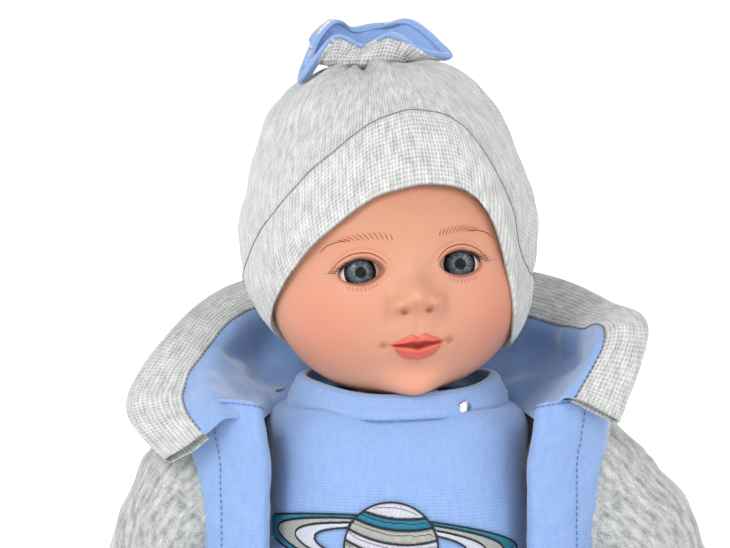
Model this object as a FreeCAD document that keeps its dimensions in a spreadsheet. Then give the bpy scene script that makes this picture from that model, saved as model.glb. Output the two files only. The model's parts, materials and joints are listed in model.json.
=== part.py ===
"""Seated interactive baby doll: vinyl head with sleeping eyes, knit hat, hooded jacket, pullover,
stuffed limbs with vinyl hands and feet, and a sound module with a tummy button.

Frame: +Z up, the doll faces -Y, the doll's left is +X.  The origin is on the floor under the
middle of the seated doll.  All sizes are millimetres and degrees, kept in the sheet "Sizes".
"""
import FreeCAD, Part
import os
import re

SIZES = {
    "origin_y": 15.9,
    # head, in its own axes: x to the doll's left, y backwards, z up
    "head_x": -3, "head_y": 0, "head_z": 240,
    "head_yaw": 8.5, "head_lean": -4, "head_nod": -6,
    "skull_radius": 60.5, "skull_y": 3, "skull_z": 3,
    "cheek_radius": 50, "cheek_y": -8, "cheek_z": -15,
    "chin_radius": 12, "chin_y": -37, "chin_z": -54,
    "nose_radius": 8, "nose_y": -57, "nose_z": -23,
    "ear_radius": 12, "ear_x": 52, "ear_y": 8, "ear_z": -12,
    "vinyl_wall": 3,
    # eyes
    "eye_dia": 23, "eye_spacing": 43.5, "eye_y": -38, "eye_z": -10.8,
    "iris_dia": 13, "iris_bulge": 0.4, "lid_gap": 0.45, "lid_wall": 0.45, "lid_edge_angle": 24,
    "lid_span": 62, "eye_axle_dia": 3, "eye_axle_clearance": 0.05, "eye_clearance": 0.5,
    "eye_opening_width": 18.4, "eye_opening_angle": 29,
    "lash_length": 3, "lash_width": 15, "lash_angle": 1.6,
    "socket_wall": 1.4, "socket_back": 4.5, "weight_dia": 9, "weight_reach": 19,
    # hat
    "knit_wall": 6, "hat_gap": 0.6, "band_width": 22, "band_rise": 1.2,
    "brim_y": -52, "brim_z": 27, "brim_tilt": -50, "nape_z": -45,
    "knot_x": -5, "knot_z": 74.2, "knot_radius": 9, "knot_cord": 3.5,
    "flap_width": 68, "flap_depth": 30, "flap_height": 25,
    # neck
    "neck_y": 5, "neck_outer_dia": 44, "neck_bore_dia": 36.1, "neck_boss_clearance": 0.05,
    "neck_plate_dia": 56, "neck_plate_z": 157, "neck_plate_height": 4, "neck_tube_z": 161.4,
    "neck_tube_top": 192, "neck_boss_height": 15, "neck_gap": 1.2, "tie_width": 3, "tie_height": 3,
    # torso: half widths, half depths and middles at each height
    "seat_z": 3, "seat_half_width": 46, "seat_half_depth": 24, "seat_mid": 36,
    "hip_z": 30, "hip_half_width": 56, "hip_half_depth": 34, "hip_mid": 26,
    "waist_z": 60, "waist_half_width": 57, "waist_half_depth": 44, "waist_mid": 10,
    "belly_z": 85, "belly_half_width": 55, "belly_half_depth": 47, "belly_mid": 2,
    "chest_z": 120, "chest_half_width": 50, "chest_half_depth": 42, "chest_mid": 2,
    "shoulder_z": 150, "shoulder_half_width": 46, "shoulder_half_depth": 34, "shoulder_mid": 4,
    "collar_z": 165, "collar_half_width": 32, "collar_half_depth": 28, "collar_mid": 5,
    "skin_wall": 1, "layer_gap": 0.3, "crotch_half_width": 9.5,
    # pullover, trousers and jacket
    "pullover_wall": 3, "pullover_ease": 5, "pullover_top_z": 167,
    "neck_hole_radius": 45, "neckband_wall": 4, "neckband_height": 9,
    "stud_dia": 9, "stud_height": 2, "stud_angle": 36,
    "patch_rise": 1, "patch_x": -3.5, "patch_z": 113, "planet_dia": 42,
    "ring_half_width": 44, "ring_half_height": 12, "ring_tilt": -6,
    "trousers_wall": 2.6, "waistband_height": 8, "waistband_wall": 1.3,
    "jacket_wall": 8, "jacket_hem_z": 63, "jacket_top_z": 168,
    "jacket_half_width": 83, "jacket_half_depth": 66, "jacket_top_half_width": 72,
    "jacket_top_half_depth": 60, "jacket_opening": 114, "lapel_rise": 5,
    "hood_bottom": 170, "hood_inner_radius": 52.5, "hood_outer_radius": 113, "hood_top": 214,
    "hood_sweep": 236, "hood_band_width": 17, "hood_band_rise": 4,
    # arms: hinge along X through the shoulder
    "arm_x": 100, "arm_y": 0, "arm_z": 150, "arm_lean": -8, "arm_forward": -14,
    "arm_plane": 84.2, "arm_dia": 30, "arm_inner_x": 52, "armhole_gap": 1.5,
    "upper_arm_length": 47, "elbow_dia": 26, "forearm_length": 42, "wrist_dia": 19,
    "palm_length": 27, "finger_dia": 6, "finger_length": 15,
    "sleeve_dia": 52, "sleeve_wall": 3.4, "sleeve_length": 92, "sleeve_end_dia": 42,
    # legs: hinge along X through the hip
    "leg_x": 38, "leg_y": 8, "leg_z": 28, "leg_splay": 10, "leg_clearance": 0.6,
    "thigh_dia": 48, "knee_dia": 36, "thigh_length": 78, "shin_dia": 31, "ankle_dia": 23,
    "shin_length": 62, "foot_height": 60, "foot_width": 26, "foot_depth": 25, "toe_dia": 7,
    "trouser_dia": 56, "trouser_cloth": 3.2, "trouser_length": 128, "trouser_end_dia": 44,
    "leg_stub_dia": 18,
    # sound module
    "module_width": 64, "module_depth": 36, "module_height": 58, "module_z": 102,
    "module_front": -24, "module_wall": 2, "module_split": 18,
    "button_dia": 16, "button_height": 16, "button_proud": 2.5, "button_travel": 2,
    "button_flange": 1.5, "button_clearance": 0.1, "spring_dia": 8, "spring_wire": 0.6,
    "board_back": 11, "board_width": 46, "board_height": 20, "board_thick": 1.6,
    "speaker_dia": 30, "speaker_drop": 12, "cell_dia": 10.5, "cell_length": 44.5,
    "door_width": 38, "door_height": 50, "door_gap": 0.2, "boss_dia": 6, "screw_dia": 2.8,
    "screw_head_dia": 5, "screw_inset": 4, "switch_x": 24.5, "switch_rise": 16,
    "switch_width": 5, "switch_height": 4, "switch_travel": 3,
}

doc = FreeCAD.newDocument("baby_doll")
sheet = doc.addObject("Spreadsheet::Sheet", "Sizes")
nodes = []

HEAD_PLACE = ("head_x", "head_y", "head_z"), ("head_yaw", "head_lean", "head_nod")
ALONG_X = ("0", "90", "0")
ALONG_FRONT = ("0", "0", "90")


# ---- helpers ------------------------------------------------------------------------------------

def fill_sheet():
    for row, (alias, value) in enumerate(SIZES.items(), start=1):
        sheet.set(f"A{row}", alias)
        sheet.set(f"B{row}", str(value))
        sheet.setAlias(f"B{row}", alias)
    doc.recompute()


def sized(expression):
    """Point each alias in an expression at the sheet."""
    return re.sub(r"\b([a-z]+_[a-z_]+)\b", r"Sizes.\1", expression)


def place(piece, at=("0", "0", "0"), turn=("0", "0", "0"), then=""):
    """Bind a placement: a position, then yaw, pitch and roll, after a turn of its own."""
    piece.setExpression("Placement", sized(
        f"create(<<placement>>; create(<<vector>>; {'; '.join(at)});"
        f" {then} create(<<rotation>>; {'; '.join(turn)}))"))
    return piece


def primitive(kind, name, at, turn, **sizes):
    piece = doc.addObject(kind, name)
    for prop, expression in sizes.items():
        piece.setExpression(prop, sized(expression))
    return place(piece, at, turn)


def ball(name, at, x, y, z, turn=("0", "0", "0")):
    return primitive("Part::Ellipsoid", name, at, turn, Radius1=z, Radius2=x, Radius3=y,
                     Angle1="-90", Angle2="90", Angle3="360")


def sphere(name, at, radius):
    return primitive("Part::Sphere", name, at, ("0", "0", "0"), Radius=radius, Angle1="-90",
                     Angle2="90", Angle3="360")


def box(name, at, x, y, z, turn=("0", "0", "0")):
    return primitive("Part::Box", name, at, turn, Length=x, Width=y, Height=z)


def rod(name, at, radius, length, turn=("0", "0", "0")):
    return primitive("Part::Cylinder", name, at, turn, Radius=radius, Height=length)


def taper(name, at, start_radius, end_radius, length, turn=("0", "0", "0")):
    return primitive("Part::Cone", name, at, turn, Radius1=start_radius, Radius2=end_radius,
                     Height=length)


def wedge(name, at, radius, start_angle, span):
    """A slice of a ball about its X axis, from start_angle above the front, upwards by span."""
    piece = primitive("Part::Sphere", name, at, ALONG_X, Radius=radius, Angle1="-90",
                      Angle2="90", Angle3=span)
    about_x = (f"create(<<rotation>>; create(<<vector>>; 1; 0; 0);"
               f" -90 - ({start_angle}) - ({span})) *")
    return place(piece, at, ALONG_X, about_x)


def fuse(name, *pieces):
    joined = doc.addObject("Part::MultiFuse", name)
    joined.Shapes = list(pieces)
    return joined


def cut(name, base, *tools):
    piece = doc.addObject("Part::Cut", name)
    piece.Base = base
    piece.Tool = tools[0] if len(tools) == 1 else fuse(name + "_tools", *tools)
    return piece


def common(name, *pieces):
    piece = doc.addObject("Part::MultiCommon", name)
    piece.Shapes = list(pieces)
    return piece


def group(name, *pieces):
    together = doc.addObject("Part::Compound", name)
    together.Links = list(pieces)
    return together


def mirrored(name, source):
    piece = doc.addObject("Part::Mirroring", name)
    piece.Source = source
    piece.Normal = (1, 0, 0)
    return piece


def loft(name, stations):
    """A straight-sided loft through ellipses: (z, half width, half depth, middle y)."""
    rings = []
    for number, (z, half_width, half_depth, middle) in enumerate(stations):
        ring = primitive("Part::Ellipse", f"{name}_ring_{number}", ("0", middle, z),
                         ("0", "0", "0"), MajorRadius=half_width, MinorRadius=half_depth)
        rings.append(ring)
    piece = doc.addObject("Part::Loft", name)
    piece.Sections = rings
    piece.Solid = True
    piece.Ruled = True
    return piece


def spun(name, corners, sweep):
    """Revolve a closed outline of (radius, z) points about the neck's axis, open to the front."""
    values = [(number(radius), number(z)) for radius, z in corners]
    points = [FreeCAD.Vector(radius, 0, z) for radius, z in values]
    outline = doc.addObject("Part::Feature", name + "_outline")
    outline.Shape = Part.Face(Part.makePolygon(points + points[:1]))
    piece = doc.addObject("Part::Revolution", name)
    piece.Source = outline
    piece.Axis = (0, 0, 1)
    piece.Base = (0, 0, 0)
    piece.setExpression("Angle", sized(sweep))
    place(piece, ("0", "neck_y", "0"), (f"90 - ({sweep})/2", "0", "0"))
    return piece


def limb(name, radius, end_radius, length, wall=None):
    """A round-topped limb about Z: a half ball above the middle and a taper down to its open end.

    With a wall it is a hollow sleeve of that thickness, open at its lower end.
    """
    top, low, long = number(radius), number(end_radius), number(length)
    corner = 0.5 ** 0.5

    def side(by):
        bow = Part.Arc(FreeCAD.Vector(0, 0, top - by),
                       FreeCAD.Vector((top - by)*corner, 0, (top - by)*corner),
                       FreeCAD.Vector(top - by, 0, 0)).toShape()
        straight = Part.makeLine(FreeCAD.Vector(top - by, 0, 0),
                                 FreeCAD.Vector(low - by, 0, -long))
        return [bow, straight]

    inner = number(wall) if wall else 0
    if wall:
        edges = side(0) + side(inner) + [
            Part.makeLine(FreeCAD.Vector(0, 0, top - inner), FreeCAD.Vector(0, 0, top)),
            Part.makeLine(FreeCAD.Vector(low, 0, -long), FreeCAD.Vector(low - inner, 0, -long))]
    else:
        edges = side(0) + [
            Part.makeLine(FreeCAD.Vector(0, 0, top), FreeCAD.Vector(0, 0, -long)),
            Part.makeLine(FreeCAD.Vector(low, 0, -long), FreeCAD.Vector(0, 0, -long))]
    outline = doc.addObject("Part::Feature", name + "_outline")
    outline.Shape = Part.Face(Part.Wire(Part.__sortEdges__(edges)))
    piece = doc.addObject("Part::Revolution", name)
    piece.Source = outline
    piece.Axis = (0, 0, 1)
    piece.Base = (0, 0, 0)
    piece.Angle = 360
    return piece


def number(expression):
    """The value of an expression of sheet aliases."""
    text = re.sub(r"\b([a-z]+_[a-z_]+)\b", lambda found: str(sheet.get(found.group(1))), expression)
    total = FreeCAD.Units.Quantity(text)
    return float(total.Value)


def keep(piece, label):
    """Keep a finished piece, moved so that the origin lies under the middle of the doll."""
    piece.Label = label + "_form"
    moved = doc.addObject("Part::Compound", label + "_in_place")
    moved.Links = [piece]
    place(moved, ("0", "origin_y", "0"), ("0", "0", "0"))
    moved.Label = label
    nodes.append(moved)


def keep_pair(piece, label):
    """Keep a piece of the doll's left side and its mirror image on the right."""
    keep(piece, label + "_left")
    keep(mirrored(label + "_mirror", piece), label + "_right")


# ---- head ---------------------------------------------------------------------------------------

def head_form(name, grow="0"):
    """The outside of the skull, cheeks and ears, grown by a distance."""
    skull = sphere(name + "_skull", ("0", "skull_y", "skull_z"), f"skull_radius + {grow}")
    cheeks = sphere(name + "_cheeks", ("0", "cheek_y", "cheek_z"), f"cheek_radius + {grow}")
    ears = [sphere(f"{name}_ear_{side}", (f"{side}*ear_x", "ear_y", "ear_z"),
                   f"ear_radius + {grow}") for side in (-1, 1)]
    return [skull, cheeks, *ears]


def head_hollow(name):
    skull = sphere(name + "_skull", ("0", "skull_y", "skull_z"), "skull_radius - vinyl_wall")
    cheeks = sphere(name + "_cheeks", ("0", "cheek_y", "cheek_z"), "cheek_radius - vinyl_wall")
    return fuse(name, skull, cheeks)


def eye_place(side):
    return f"{side}*eye_spacing/2", "eye_y", "eye_z"


def eye_opening(side):
    at = eye_place(side)
    swing_room = sphere(f"eye_room_{side}", at, "eye_dia/2 + lid_gap + lid_wall + eye_clearance")
    slot = wedge(f"eye_slot_{side}", at, "eye_dia/2 + 8", "-eye_opening_angle",
                 "2*eye_opening_angle")
    width = box(f"eye_width_{side}", (f"{side}*eye_spacing/2 - eye_opening_width/2",
                                      "eye_y - 30", "eye_z - 15"), "eye_opening_width", "30", "30")
    return [swing_room, common(f"eye_slit_{side}", slot, width),
            eye_axle(f"eye_pin_room_{side}", side, "eye_clearance")]


def build_head():
    chin = sphere("chin", ("0", "chin_y", "chin_z"), "chin_radius")
    nose = sphere("nose", ("0", "nose_y", "nose_z"), "nose_radius")
    outside = place(fuse("head_outside", *head_form("head"), chin, nose), *HEAD_PLACE)
    neck = rod("head_neck", ("0", "neck_y", "neck_tube_z"), "neck_outer_dia/2",
               "neck_tube_top - neck_tube_z")
    solid = fuse("head_solid", outside, neck)
    inside = place(head_hollow("head_inside"), *HEAD_PLACE)
    bore = rod("head_bore", ("0", "neck_y", "neck_tube_z - 1"), "neck_bore_dia/2",
               "neck_tube_top - neck_tube_z + 1")
    holes = place(fuse("eye_holes", *eye_opening(-1), *eye_opening(1)), *HEAD_PLACE)
    keep(cut("head_shell", solid, inside, bore, holes), "head_shell")


def build_hat():
    def knit(name, rise):
        return sphere(name + "_outer", ("0", "skull_y", "skull_z"),
                      f"skull_radius + hat_gap + knit_wall + {rise}")

    def head_room(name):
        return fuse(name, *head_form(name, "hat_gap"))

    def above_nape(name):
        return box(name, ("-150", "-150", "nape_z"), "300", "300", "300")

    def behind_brim(name, start, depth):
        slab = box(name + "_slab", ("-150", "-200", start), "300", "400", depth)
        turned = fuse(name, slab, box(name + "_core", ("-1", "-1", start), "2", "2", depth))
        return place(turned, ("0", "brim_y", "brim_z"), ("0", "0", "brim_tilt"))

    crown = cut("crown_shell", knit("crown", "0"), head_room("crown_room"))
    crown = common("hat_crown", crown, above_nape("crown_nape"),
                   behind_brim("crown_keep", "band_width", "250"))
    keep(place(crown, *HEAD_PLACE), "hat_crown")
    band = cut("band_shell", knit("band", "band_rise"), head_room("band_room"))
    band = common("hat_band", band, above_nape("band_nape"),
                  behind_brim("band_keep", "0", "band_width"))
    keep(place(band, *HEAD_PLACE), "hat_band")

    knot_at = ("knot_x", "skull_y", "knot_z")
    cord = primitive("Part::Torus", "tie_cord", knot_at, ("0", "0", "0"),
                     Radius1="knot_radius", Radius2="knot_cord")
    core = rod("tie_core", ("knot_x", "skull_y", "knot_z - knot_cord*0.5"), "knot_radius",
               "knot_cord")
    keep(place(fuse("hat_tie", cord, core), *HEAD_PLACE), "hat_tie")

    flaps = loft("flap_loft", [
        ("knot_z + knot_cord", "knot_radius", "knot_radius*0.9", "skull_y"),
        ("knot_z + knot_cord + flap_height*0.4", "flap_width*0.3", "flap_depth*0.4", "skull_y"),
        ("knot_z + knot_cord + flap_height*0.8", "flap_width/2", "flap_depth/2", "skull_y"),
        ("knot_z + knot_cord + flap_height", "flap_width*0.44", "flap_depth*0.38", "skull_y"),
    ])
    heart = rod("flap_heart", ("0", "skull_y", "knot_z + knot_cord"), "knot_radius/2",
                "flap_height/2")
    moved = place(fuse("flap_pair", flaps, heart), ("knot_x", "0", "0"))
    stalk = rod("flap_stalk", ("knot_x", "skull_y", "knot_z + knot_cord"), "knot_radius/3",
                "flap_height/3")
    keep(place(fuse("hat_top_flaps", moved, stalk), *HEAD_PLACE), "hat_top_flaps")


# ---- eyes ---------------------------------------------------------------------------------------

def eye_axle(name, side, extra="0"):
    reach = "(eye_dia/2 + lid_gap + lid_wall + eye_clearance + socket_wall - 0.2)"
    return rod(name, (f"{side}*eye_spacing/2 - {reach} - {extra}", "eye_y", "eye_z"),
               f"eye_axle_dia/2 + {extra}", f"2*{reach} + 2*{extra}", ALONG_X)


def build_eye(side, label):
    at = eye_place(side)
    ball_half = "eye_dia/2"
    pins = eye_axle(f"eye_pins_{label}", side)
    eyeball = fuse(f"eyeball_{label}", sphere(f"eye_white_{label}", at, ball_half), pins)
    keep(place(eyeball, *HEAD_PLACE), f"eyeball_{label}")

    bulge = sphere(f"iris_bulge_{label}", at, "eye_dia/2 + iris_bulge")
    disc = rod(f"iris_disc_{label}", at, "iris_dia/2", "eye_dia", ALONG_FRONT)
    iris = cut(f"iris_{label}", common(f"iris_cap_{label}", bulge, disc),
               sphere(f"iris_seat_{label}", at, ball_half))
    keep(place(iris, *HEAD_PLACE), f"iris_{label}")

    skin = wedge(f"lid_outer_{label}", at, "eye_dia/2 + lid_gap + lid_wall", "lid_edge_angle",
                 "lid_span")
    lid = cut(f"eyelid_{label}", skin,
              sphere(f"lid_inner_{label}", at, "eye_dia/2 + lid_gap"),
              eye_axle(f"lid_axle_{label}", side))
    keep(place(lid, *HEAD_PLACE), f"eyelid_{label}")

    fan = wedge(f"lash_fan_{label}", at, "eye_dia/2 + lid_gap + lid_wall + lash_length",
                "lid_edge_angle", "lash_angle")
    width = box(f"lash_width_{label}", (f"{side}*eye_spacing/2 - lash_width/2", "eye_y - 30",
                                        "eye_z - 15"), "lash_width", "60", "30")
    lashes = cut(f"lashes_{label}", common(f"lash_strip_{label}", fan, width),
                 sphere(f"lash_root_{label}", at, "eye_dia/2 + lid_gap + lid_wall"))
    keep(place(lashes, *HEAD_PLACE), f"lashes_{label}")

    stem = rod(f"weight_stem_{label}", at, "1.2", "weight_reach", ("0", "0", "-135"))
    lump = sphere(f"weight_lump_{label}", (at[0], "eye_y + weight_reach*0.7071",
                                         "eye_z - weight_reach*0.7071"), "weight_dia/2")
    weight = cut(f"eye_weight_{label}", fuse(f"weight_solid_{label}", stem, lump),
                 sphere(f"weight_seat_{label}", at, ball_half))
    keep(place(weight, *HEAD_PLACE), f"eye_weight_{label}")


def build_socket(side, label):
    at = eye_place(side)
    bore = "eye_dia/2 + lid_gap + lid_wall + eye_clearance"
    front = (at[0], "eye_y + socket_back", "eye_z")
    tube = rod(f"socket_tube_{label}", front, f"{bore} + socket_wall", "eye_dia", ALONG_FRONT)
    inner = rod(f"socket_inner_{label}", (at[0], "eye_y + socket_back + 1", "eye_z"), bore,
                "eye_dia + 2", ALONG_FRONT)
    wall = common(f"socket_wall_{label}", tube, head_hollow(f"socket_hollow_{label}"))
    socket = cut(f"eye_socket_{label}", wall, inner,
                 eye_axle(f"socket_bore_{label}", side, "eye_axle_clearance"))
    keep(place(socket, *HEAD_PLACE), f"eye_socket_{label}")


# ---- torso and clothes --------------------------------------------------------------------------

TORSO = ["seat", "hip", "waist", "belly", "chest", "shoulder", "collar"]


def torso_stations(grow, names, heights=None):
    heights = heights or {}
    return [(heights.get(name, f"{name}_z"), f"{name}_half_width + {grow}",
             f"{name}_half_depth + {grow}", f"{name}_mid") for name in names]


def leg_room(name, extra="leg_clearance"):
    """The space that both thighs need, from resting forward to hanging down."""
    rooms = []
    for side in (-1, 1):
        start = "crotch_half_width" if side == 1 else "-200"
        length = "200 - crotch_half_width"
        reach = f"trouser_dia/2 + {extra}"
        rooms.append(rod(f"{name}_round_{side}", (start, "leg_y", "leg_z"), reach, length, ALONG_X))
        rooms.append(box(f"{name}_front_{side}", (start, "leg_y - 150", "-5"), length, "150",
                         f"leg_z + 5 + {reach}"))
        rooms.append(box(f"{name}_under_{side}", (start, "leg_y", "-5"), length, reach,
                         "leg_z + 5"))
    return fuse(name, *rooms)


def build_torso():
    outer = loft("skin_outer", torso_stations("0", TORSO))
    inner = loft("skin_inner", torso_stations("0 - skin_wall", TORSO, {
        "seat": "seat_z + skin_wall", "collar": "collar_z - skin_wall"}))
    hollow = cut("skin_hollow", inner, leg_room("skin_leg_room", "leg_clearance + skin_wall"))
    neck = rod("skin_neck_hole", ("0", "neck_y", "collar_z - 10"),
               "neck_outer_dia/2 + neck_gap", "20")
    keep(cut("torso_skin", outer, leg_room("torso_leg_room"), hollow, neck), "torso_skin")

    fill = loft("fill_loft", torso_stations("0 - skin_wall", TORSO, {
        "seat": "seat_z + skin_wall", "collar": "collar_z - skin_wall"}))
    module = box("fill_module", ("-module_width/2", "module_front", "module_z - module_height/2"),
                 "module_width", "module_depth + 3", "module_height")
    button = rod("fill_button", ("0", "module_front + 1", "module_z + button_height"),
                 "button_dia/2 + 1", "button_proud + 1.8", ALONG_FRONT)
    plate = rod("fill_plate", ("0", "neck_y", "neck_plate_z"), "neck_plate_dia/2", "20")
    keep(cut("torso_stuffing", fill, leg_room("fill_leg_room", "leg_clearance + skin_wall"),
             module, button, plate), "torso_stuffing")


def build_neck():
    plate = rod("neck_plate", ("0", "neck_y", "neck_plate_z"), "neck_plate_dia/2",
                "neck_plate_height")
    boss = rod("neck_boss", ("0", "neck_y", "neck_plate_z"),
               "neck_bore_dia/2 - neck_boss_clearance", "neck_plate_height + neck_boss_height")
    keep(fuse("neck_plug", plate, boss), "neck_plug")
    outer = rod("tie_outer", ("0", "neck_y", "collar_z"),
                "neck_outer_dia/2 + neck_gap + tie_width", "tie_height")
    inner = rod("tie_inner", ("0", "neck_y", "collar_z - 1"), "neck_outer_dia/2 + neck_gap",
                "tie_height + 2")
    keep(cut("neck_tie", outer, inner), "neck_tie")


def arm_room(name, extra):
    return rod(name, ("-150", "arm_y", "arm_z"), f"arm_dia/2 + {extra}", "300", ALONG_X)


PULLOVER = ["waist", "belly", "chest", "shoulder"]


def pullover_form(name, grow):
    """The pullover's outside, grown by a distance."""
    stations = torso_stations(f"pullover_ease + {grow}", PULLOVER)
    stations[2] = ("chest_z", f"chest_half_width + pullover_ease + 2 + {grow}",
                   f"chest_half_depth + pullover_ease + 3 + {grow}", "chest_mid")
    stations[3] = ("shoulder_z", f"neck_hole_radius + neckband_wall + 5 + {grow}",
                   f"neck_hole_radius + neckband_wall - 1 + {grow}", "shoulder_mid")
    stations.append(("pullover_top_z", f"neck_hole_radius + neckband_wall + 1 + {grow}",
                     f"neck_hole_radius + neckband_wall + {grow}", "neck_y"))
    return loft(name, stations)


def build_pullover():
    body = cut("pullover_body", pullover_form("pullover_outer", "0"),
               pullover_form("pullover_inner", "(0 - pullover_wall)"),
               arm_room("pullover_armholes", "armhole_gap"))
    keep(body, "pullover_body")
    outer = rod("neckband_outer", ("0", "neck_y", "pullover_top_z"),
                "neck_hole_radius + neckband_wall", "neckband_height")
    inner = rod("neckband_inner", ("0", "neck_y", "pullover_top_z - 1"), "neck_hole_radius",
                "neckband_height + 2")
    keep(cut("pullover_neckband", outer, inner), "pullover_neckband")

    stud = rod("stud_cap", (
        "(neck_hole_radius + neckband_wall)*sin(stud_angle)",
        "neck_y - (neck_hole_radius + neckband_wall)*cos(stud_angle)",
        "pullover_top_z + neckband_height/2"), "stud_dia*0.4", "stud_height + 1",
        ("stud_angle", "0", "90"))
    stud_room = rod("stud_room", ("0", "neck_y", "pullover_top_z - 1"),
                    "neck_hole_radius + neckband_wall", "neckband_height + 2")
    keep(cut("press_stud", stud, stud_room), "press_stud")

    planet = rod("planet_disc", ("patch_x", "0", "patch_z"), "planet_dia/2", "100", ALONG_FRONT)
    ring = primitive("Part::Ellipse", "planet_ring_line", ("patch_x", "0", "patch_z"),
                     ("0", "ring_tilt", "90"), MajorRadius="ring_half_width",
                     MinorRadius="ring_half_height")
    band = doc.addObject("Part::Extrusion", "planet_ring")
    band.Base = ring
    band.Dir = (0, -1, 0)
    band.LengthFwd = 100
    band.Solid = True
    layer = cut("patch_layer", pullover_form("patch_outer", "patch_rise"),
                pullover_form("patch_inner", "0"))
    keep(common("embroidery_patch", layer, fuse("patch_shape", planet, band)), "embroidery_patch")


def build_trousers():
    names = ["seat", "hip", "waist"]
    bottom = {"seat": "0", "waist": "waist_z - 3"}
    outer = loft("seat_outer", torso_stations("layer_gap + trousers_wall", names, bottom))
    inner = loft("seat_inner", torso_stations("layer_gap", names, {"seat": "seat_z"}))
    keep(cut("trousers_seat", outer, leg_room("trousers_leg_room", "leg_clearance"),
             inner), "trousers_seat")
    around = ["hip", "waist", "belly"]
    ring = cut("waistband_ring",
               loft("waistband_outer", torso_stations("layer_gap + waistband_wall", around)),
               loft("waistband_inner", torso_stations("layer_gap", around)))
    slab = box("waistband_slab", ("-200", "-200", "waist_z - 3"), "400", "400",
               "waistband_height")
    keep(common("trousers_waistband", ring, slab), "trousers_waistband")


def jacket_form(name, grow):
    side = f"jacket_half_width + {grow}"
    depth = f"jacket_half_depth + {grow}"
    return loft(name, [
        ("jacket_hem_z", side, depth, "belly_mid"),
        ("chest_z", side, depth, "belly_mid"),
        ("shoulder_z", side, depth, "shoulder_mid"),
        ("jacket_top_z", f"jacket_top_half_width + {grow}", f"jacket_top_half_depth + {grow}",
         "neck_y"),
    ])


def build_jacket():
    opening = box("jacket_front", ("-jacket_opening/2", "-150", "0"), "jacket_opening", "150",
                  "300")
    body = cut("jacket_body", jacket_form("jacket_outer", "0"),
               jacket_form("jacket_inner", "(0 - jacket_wall)"), opening,
               arm_room("jacket_armholes", "armhole_gap"))
    keep(body, "jacket_body")
    layer = cut("lapel_layer", jacket_form("lapel_outer", "lapel_rise"),
                jacket_form("lapel_inner", "0"))
    side = box("lapel_side", ("jacket_opening/2", "-150", "0"),
               "jacket_half_width - jacket_opening/2 - 4", "150", "300")
    keep_pair(cut("jacket_lapel", common("lapel_strip", layer, side),
                  arm_room("lapel_arm_room", "armhole_gap")), "jacket_lapel")


def build_hood():
    hood = spun("hood", [
        ("hood_inner_radius", "hood_bottom"),
        ("hood_outer_radius - 27", "hood_bottom + 11"),
        ("hood_outer_radius - 1", "hood_bottom + 16"),
        ("hood_outer_radius", "hood_top - 18"),
        ("hood_outer_radius - hood_band_width", "hood_top - 16"),
        ("hood_outer_radius - 30", "hood_top"),
        ("hood_outer_radius - 36", "hood_top"),
        ("hood_outer_radius - 42", "hood_top - 12"),
        ("hood_inner_radius + 12", "hood_bottom + 11"),
        ("hood_inner_radius", "hood_bottom + 7"),
    ], "hood_sweep")
    keep(hood, "jacket_hood")
    band = spun("hood_band_spin", [
        ("hood_outer_radius", "hood_top - 18"),
        ("hood_outer_radius", "hood_top - 18 + hood_band_rise"),
        ("hood_outer_radius - hood_band_width", "hood_top - 16 + hood_band_rise"),
        ("hood_outer_radius - hood_band_width", "hood_top - 16"),
    ], "hood_sweep")
    keep(band, "hood_band")


# ---- limbs --------------------------------------------------------------------------------------

ARM_PLACE = ("arm_x", "arm_y", "arm_z"), ("0", "arm_lean", "arm_forward")
LEG_PLACE = ("leg_x", "leg_y", "leg_z"), ("leg_splay", "0", "0")
LIMB_PLACE = LEG_PLACE[0], ("leg_splay", "0", "-90")
DOWN = ("0", "180", "0")


def build_arm():
    tube = limb("upper_arm_tube", "arm_dia/2", "elbow_dia/2", "upper_arm_length")
    stub = rod("shoulder_stub", ("arm_inner_x", "arm_y", "arm_z"), "arm_dia/2",
               "arm_x - arm_inner_x", ALONG_X)
    keep_pair(fuse("upper_arm", place(tube, *ARM_PLACE), stub), "upper_arm")

    forearm = taper("forearm", ("0", "0", "-upper_arm_length"), "elbow_dia/2 - 1", "wrist_dia/2",
                    "forearm_length", DOWN)
    palm_z = "(0 - upper_arm_length - forearm_length - palm_length*0.35)"
    palm = ball("palm", ("0", "0", palm_z), "wrist_dia*0.42", "palm_length*0.5",
                "palm_length*0.55")
    fingers = []
    for index in range(4):
        across = f"(({index} - 1.5)*(finger_dia + 0.3))"
        root = f"{palm_z} - palm_length*0.3"
        fingers.append(rod(f"finger_{index}", ("0", across, root), "finger_dia/2",
                           "finger_length", ("0", "188", "0")))
        fingers.append(sphere(f"finger_tip_{index}", (
            "0 - finger_length*sin(8)", across, f"{root} - finger_length*cos(8)"),
            "finger_dia/2"))
    thumb = rod("thumb", ("0 - 1", "0 - palm_length*0.3", f"{palm_z} + 5"), "finger_dia*0.55",
                "finger_length", ("0", "180", "0 - 38"))
    keep_pair(place(fuse("hand", forearm, palm, thumb, *fingers), *ARM_PLACE), "hand")

    outer = rod("arm_tie_outer", ("0", "0", "1 - upper_arm_length"), "elbow_dia/2 + 1.6",
                "tie_width")
    inner = rod("arm_tie_inner", ("0", "0", "0 - upper_arm_length"), "elbow_dia/2 + 0.25",
                "tie_width + 2")
    keep_pair(place(cut("arm_tie", outer, inner), *ARM_PLACE), "arm_tie")

    shell = place(limb("sleeve_shell", "sleeve_dia/2", "sleeve_end_dia/2", "sleeve_length",
                       "sleeve_wall"), *ARM_PLACE)
    inner_side = box("sleeve_side", ("0", "-150", "0"), "arm_plane", "300", "300")
    keep_pair(cut("sleeve", shell, inner_side), "sleeve")


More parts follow.
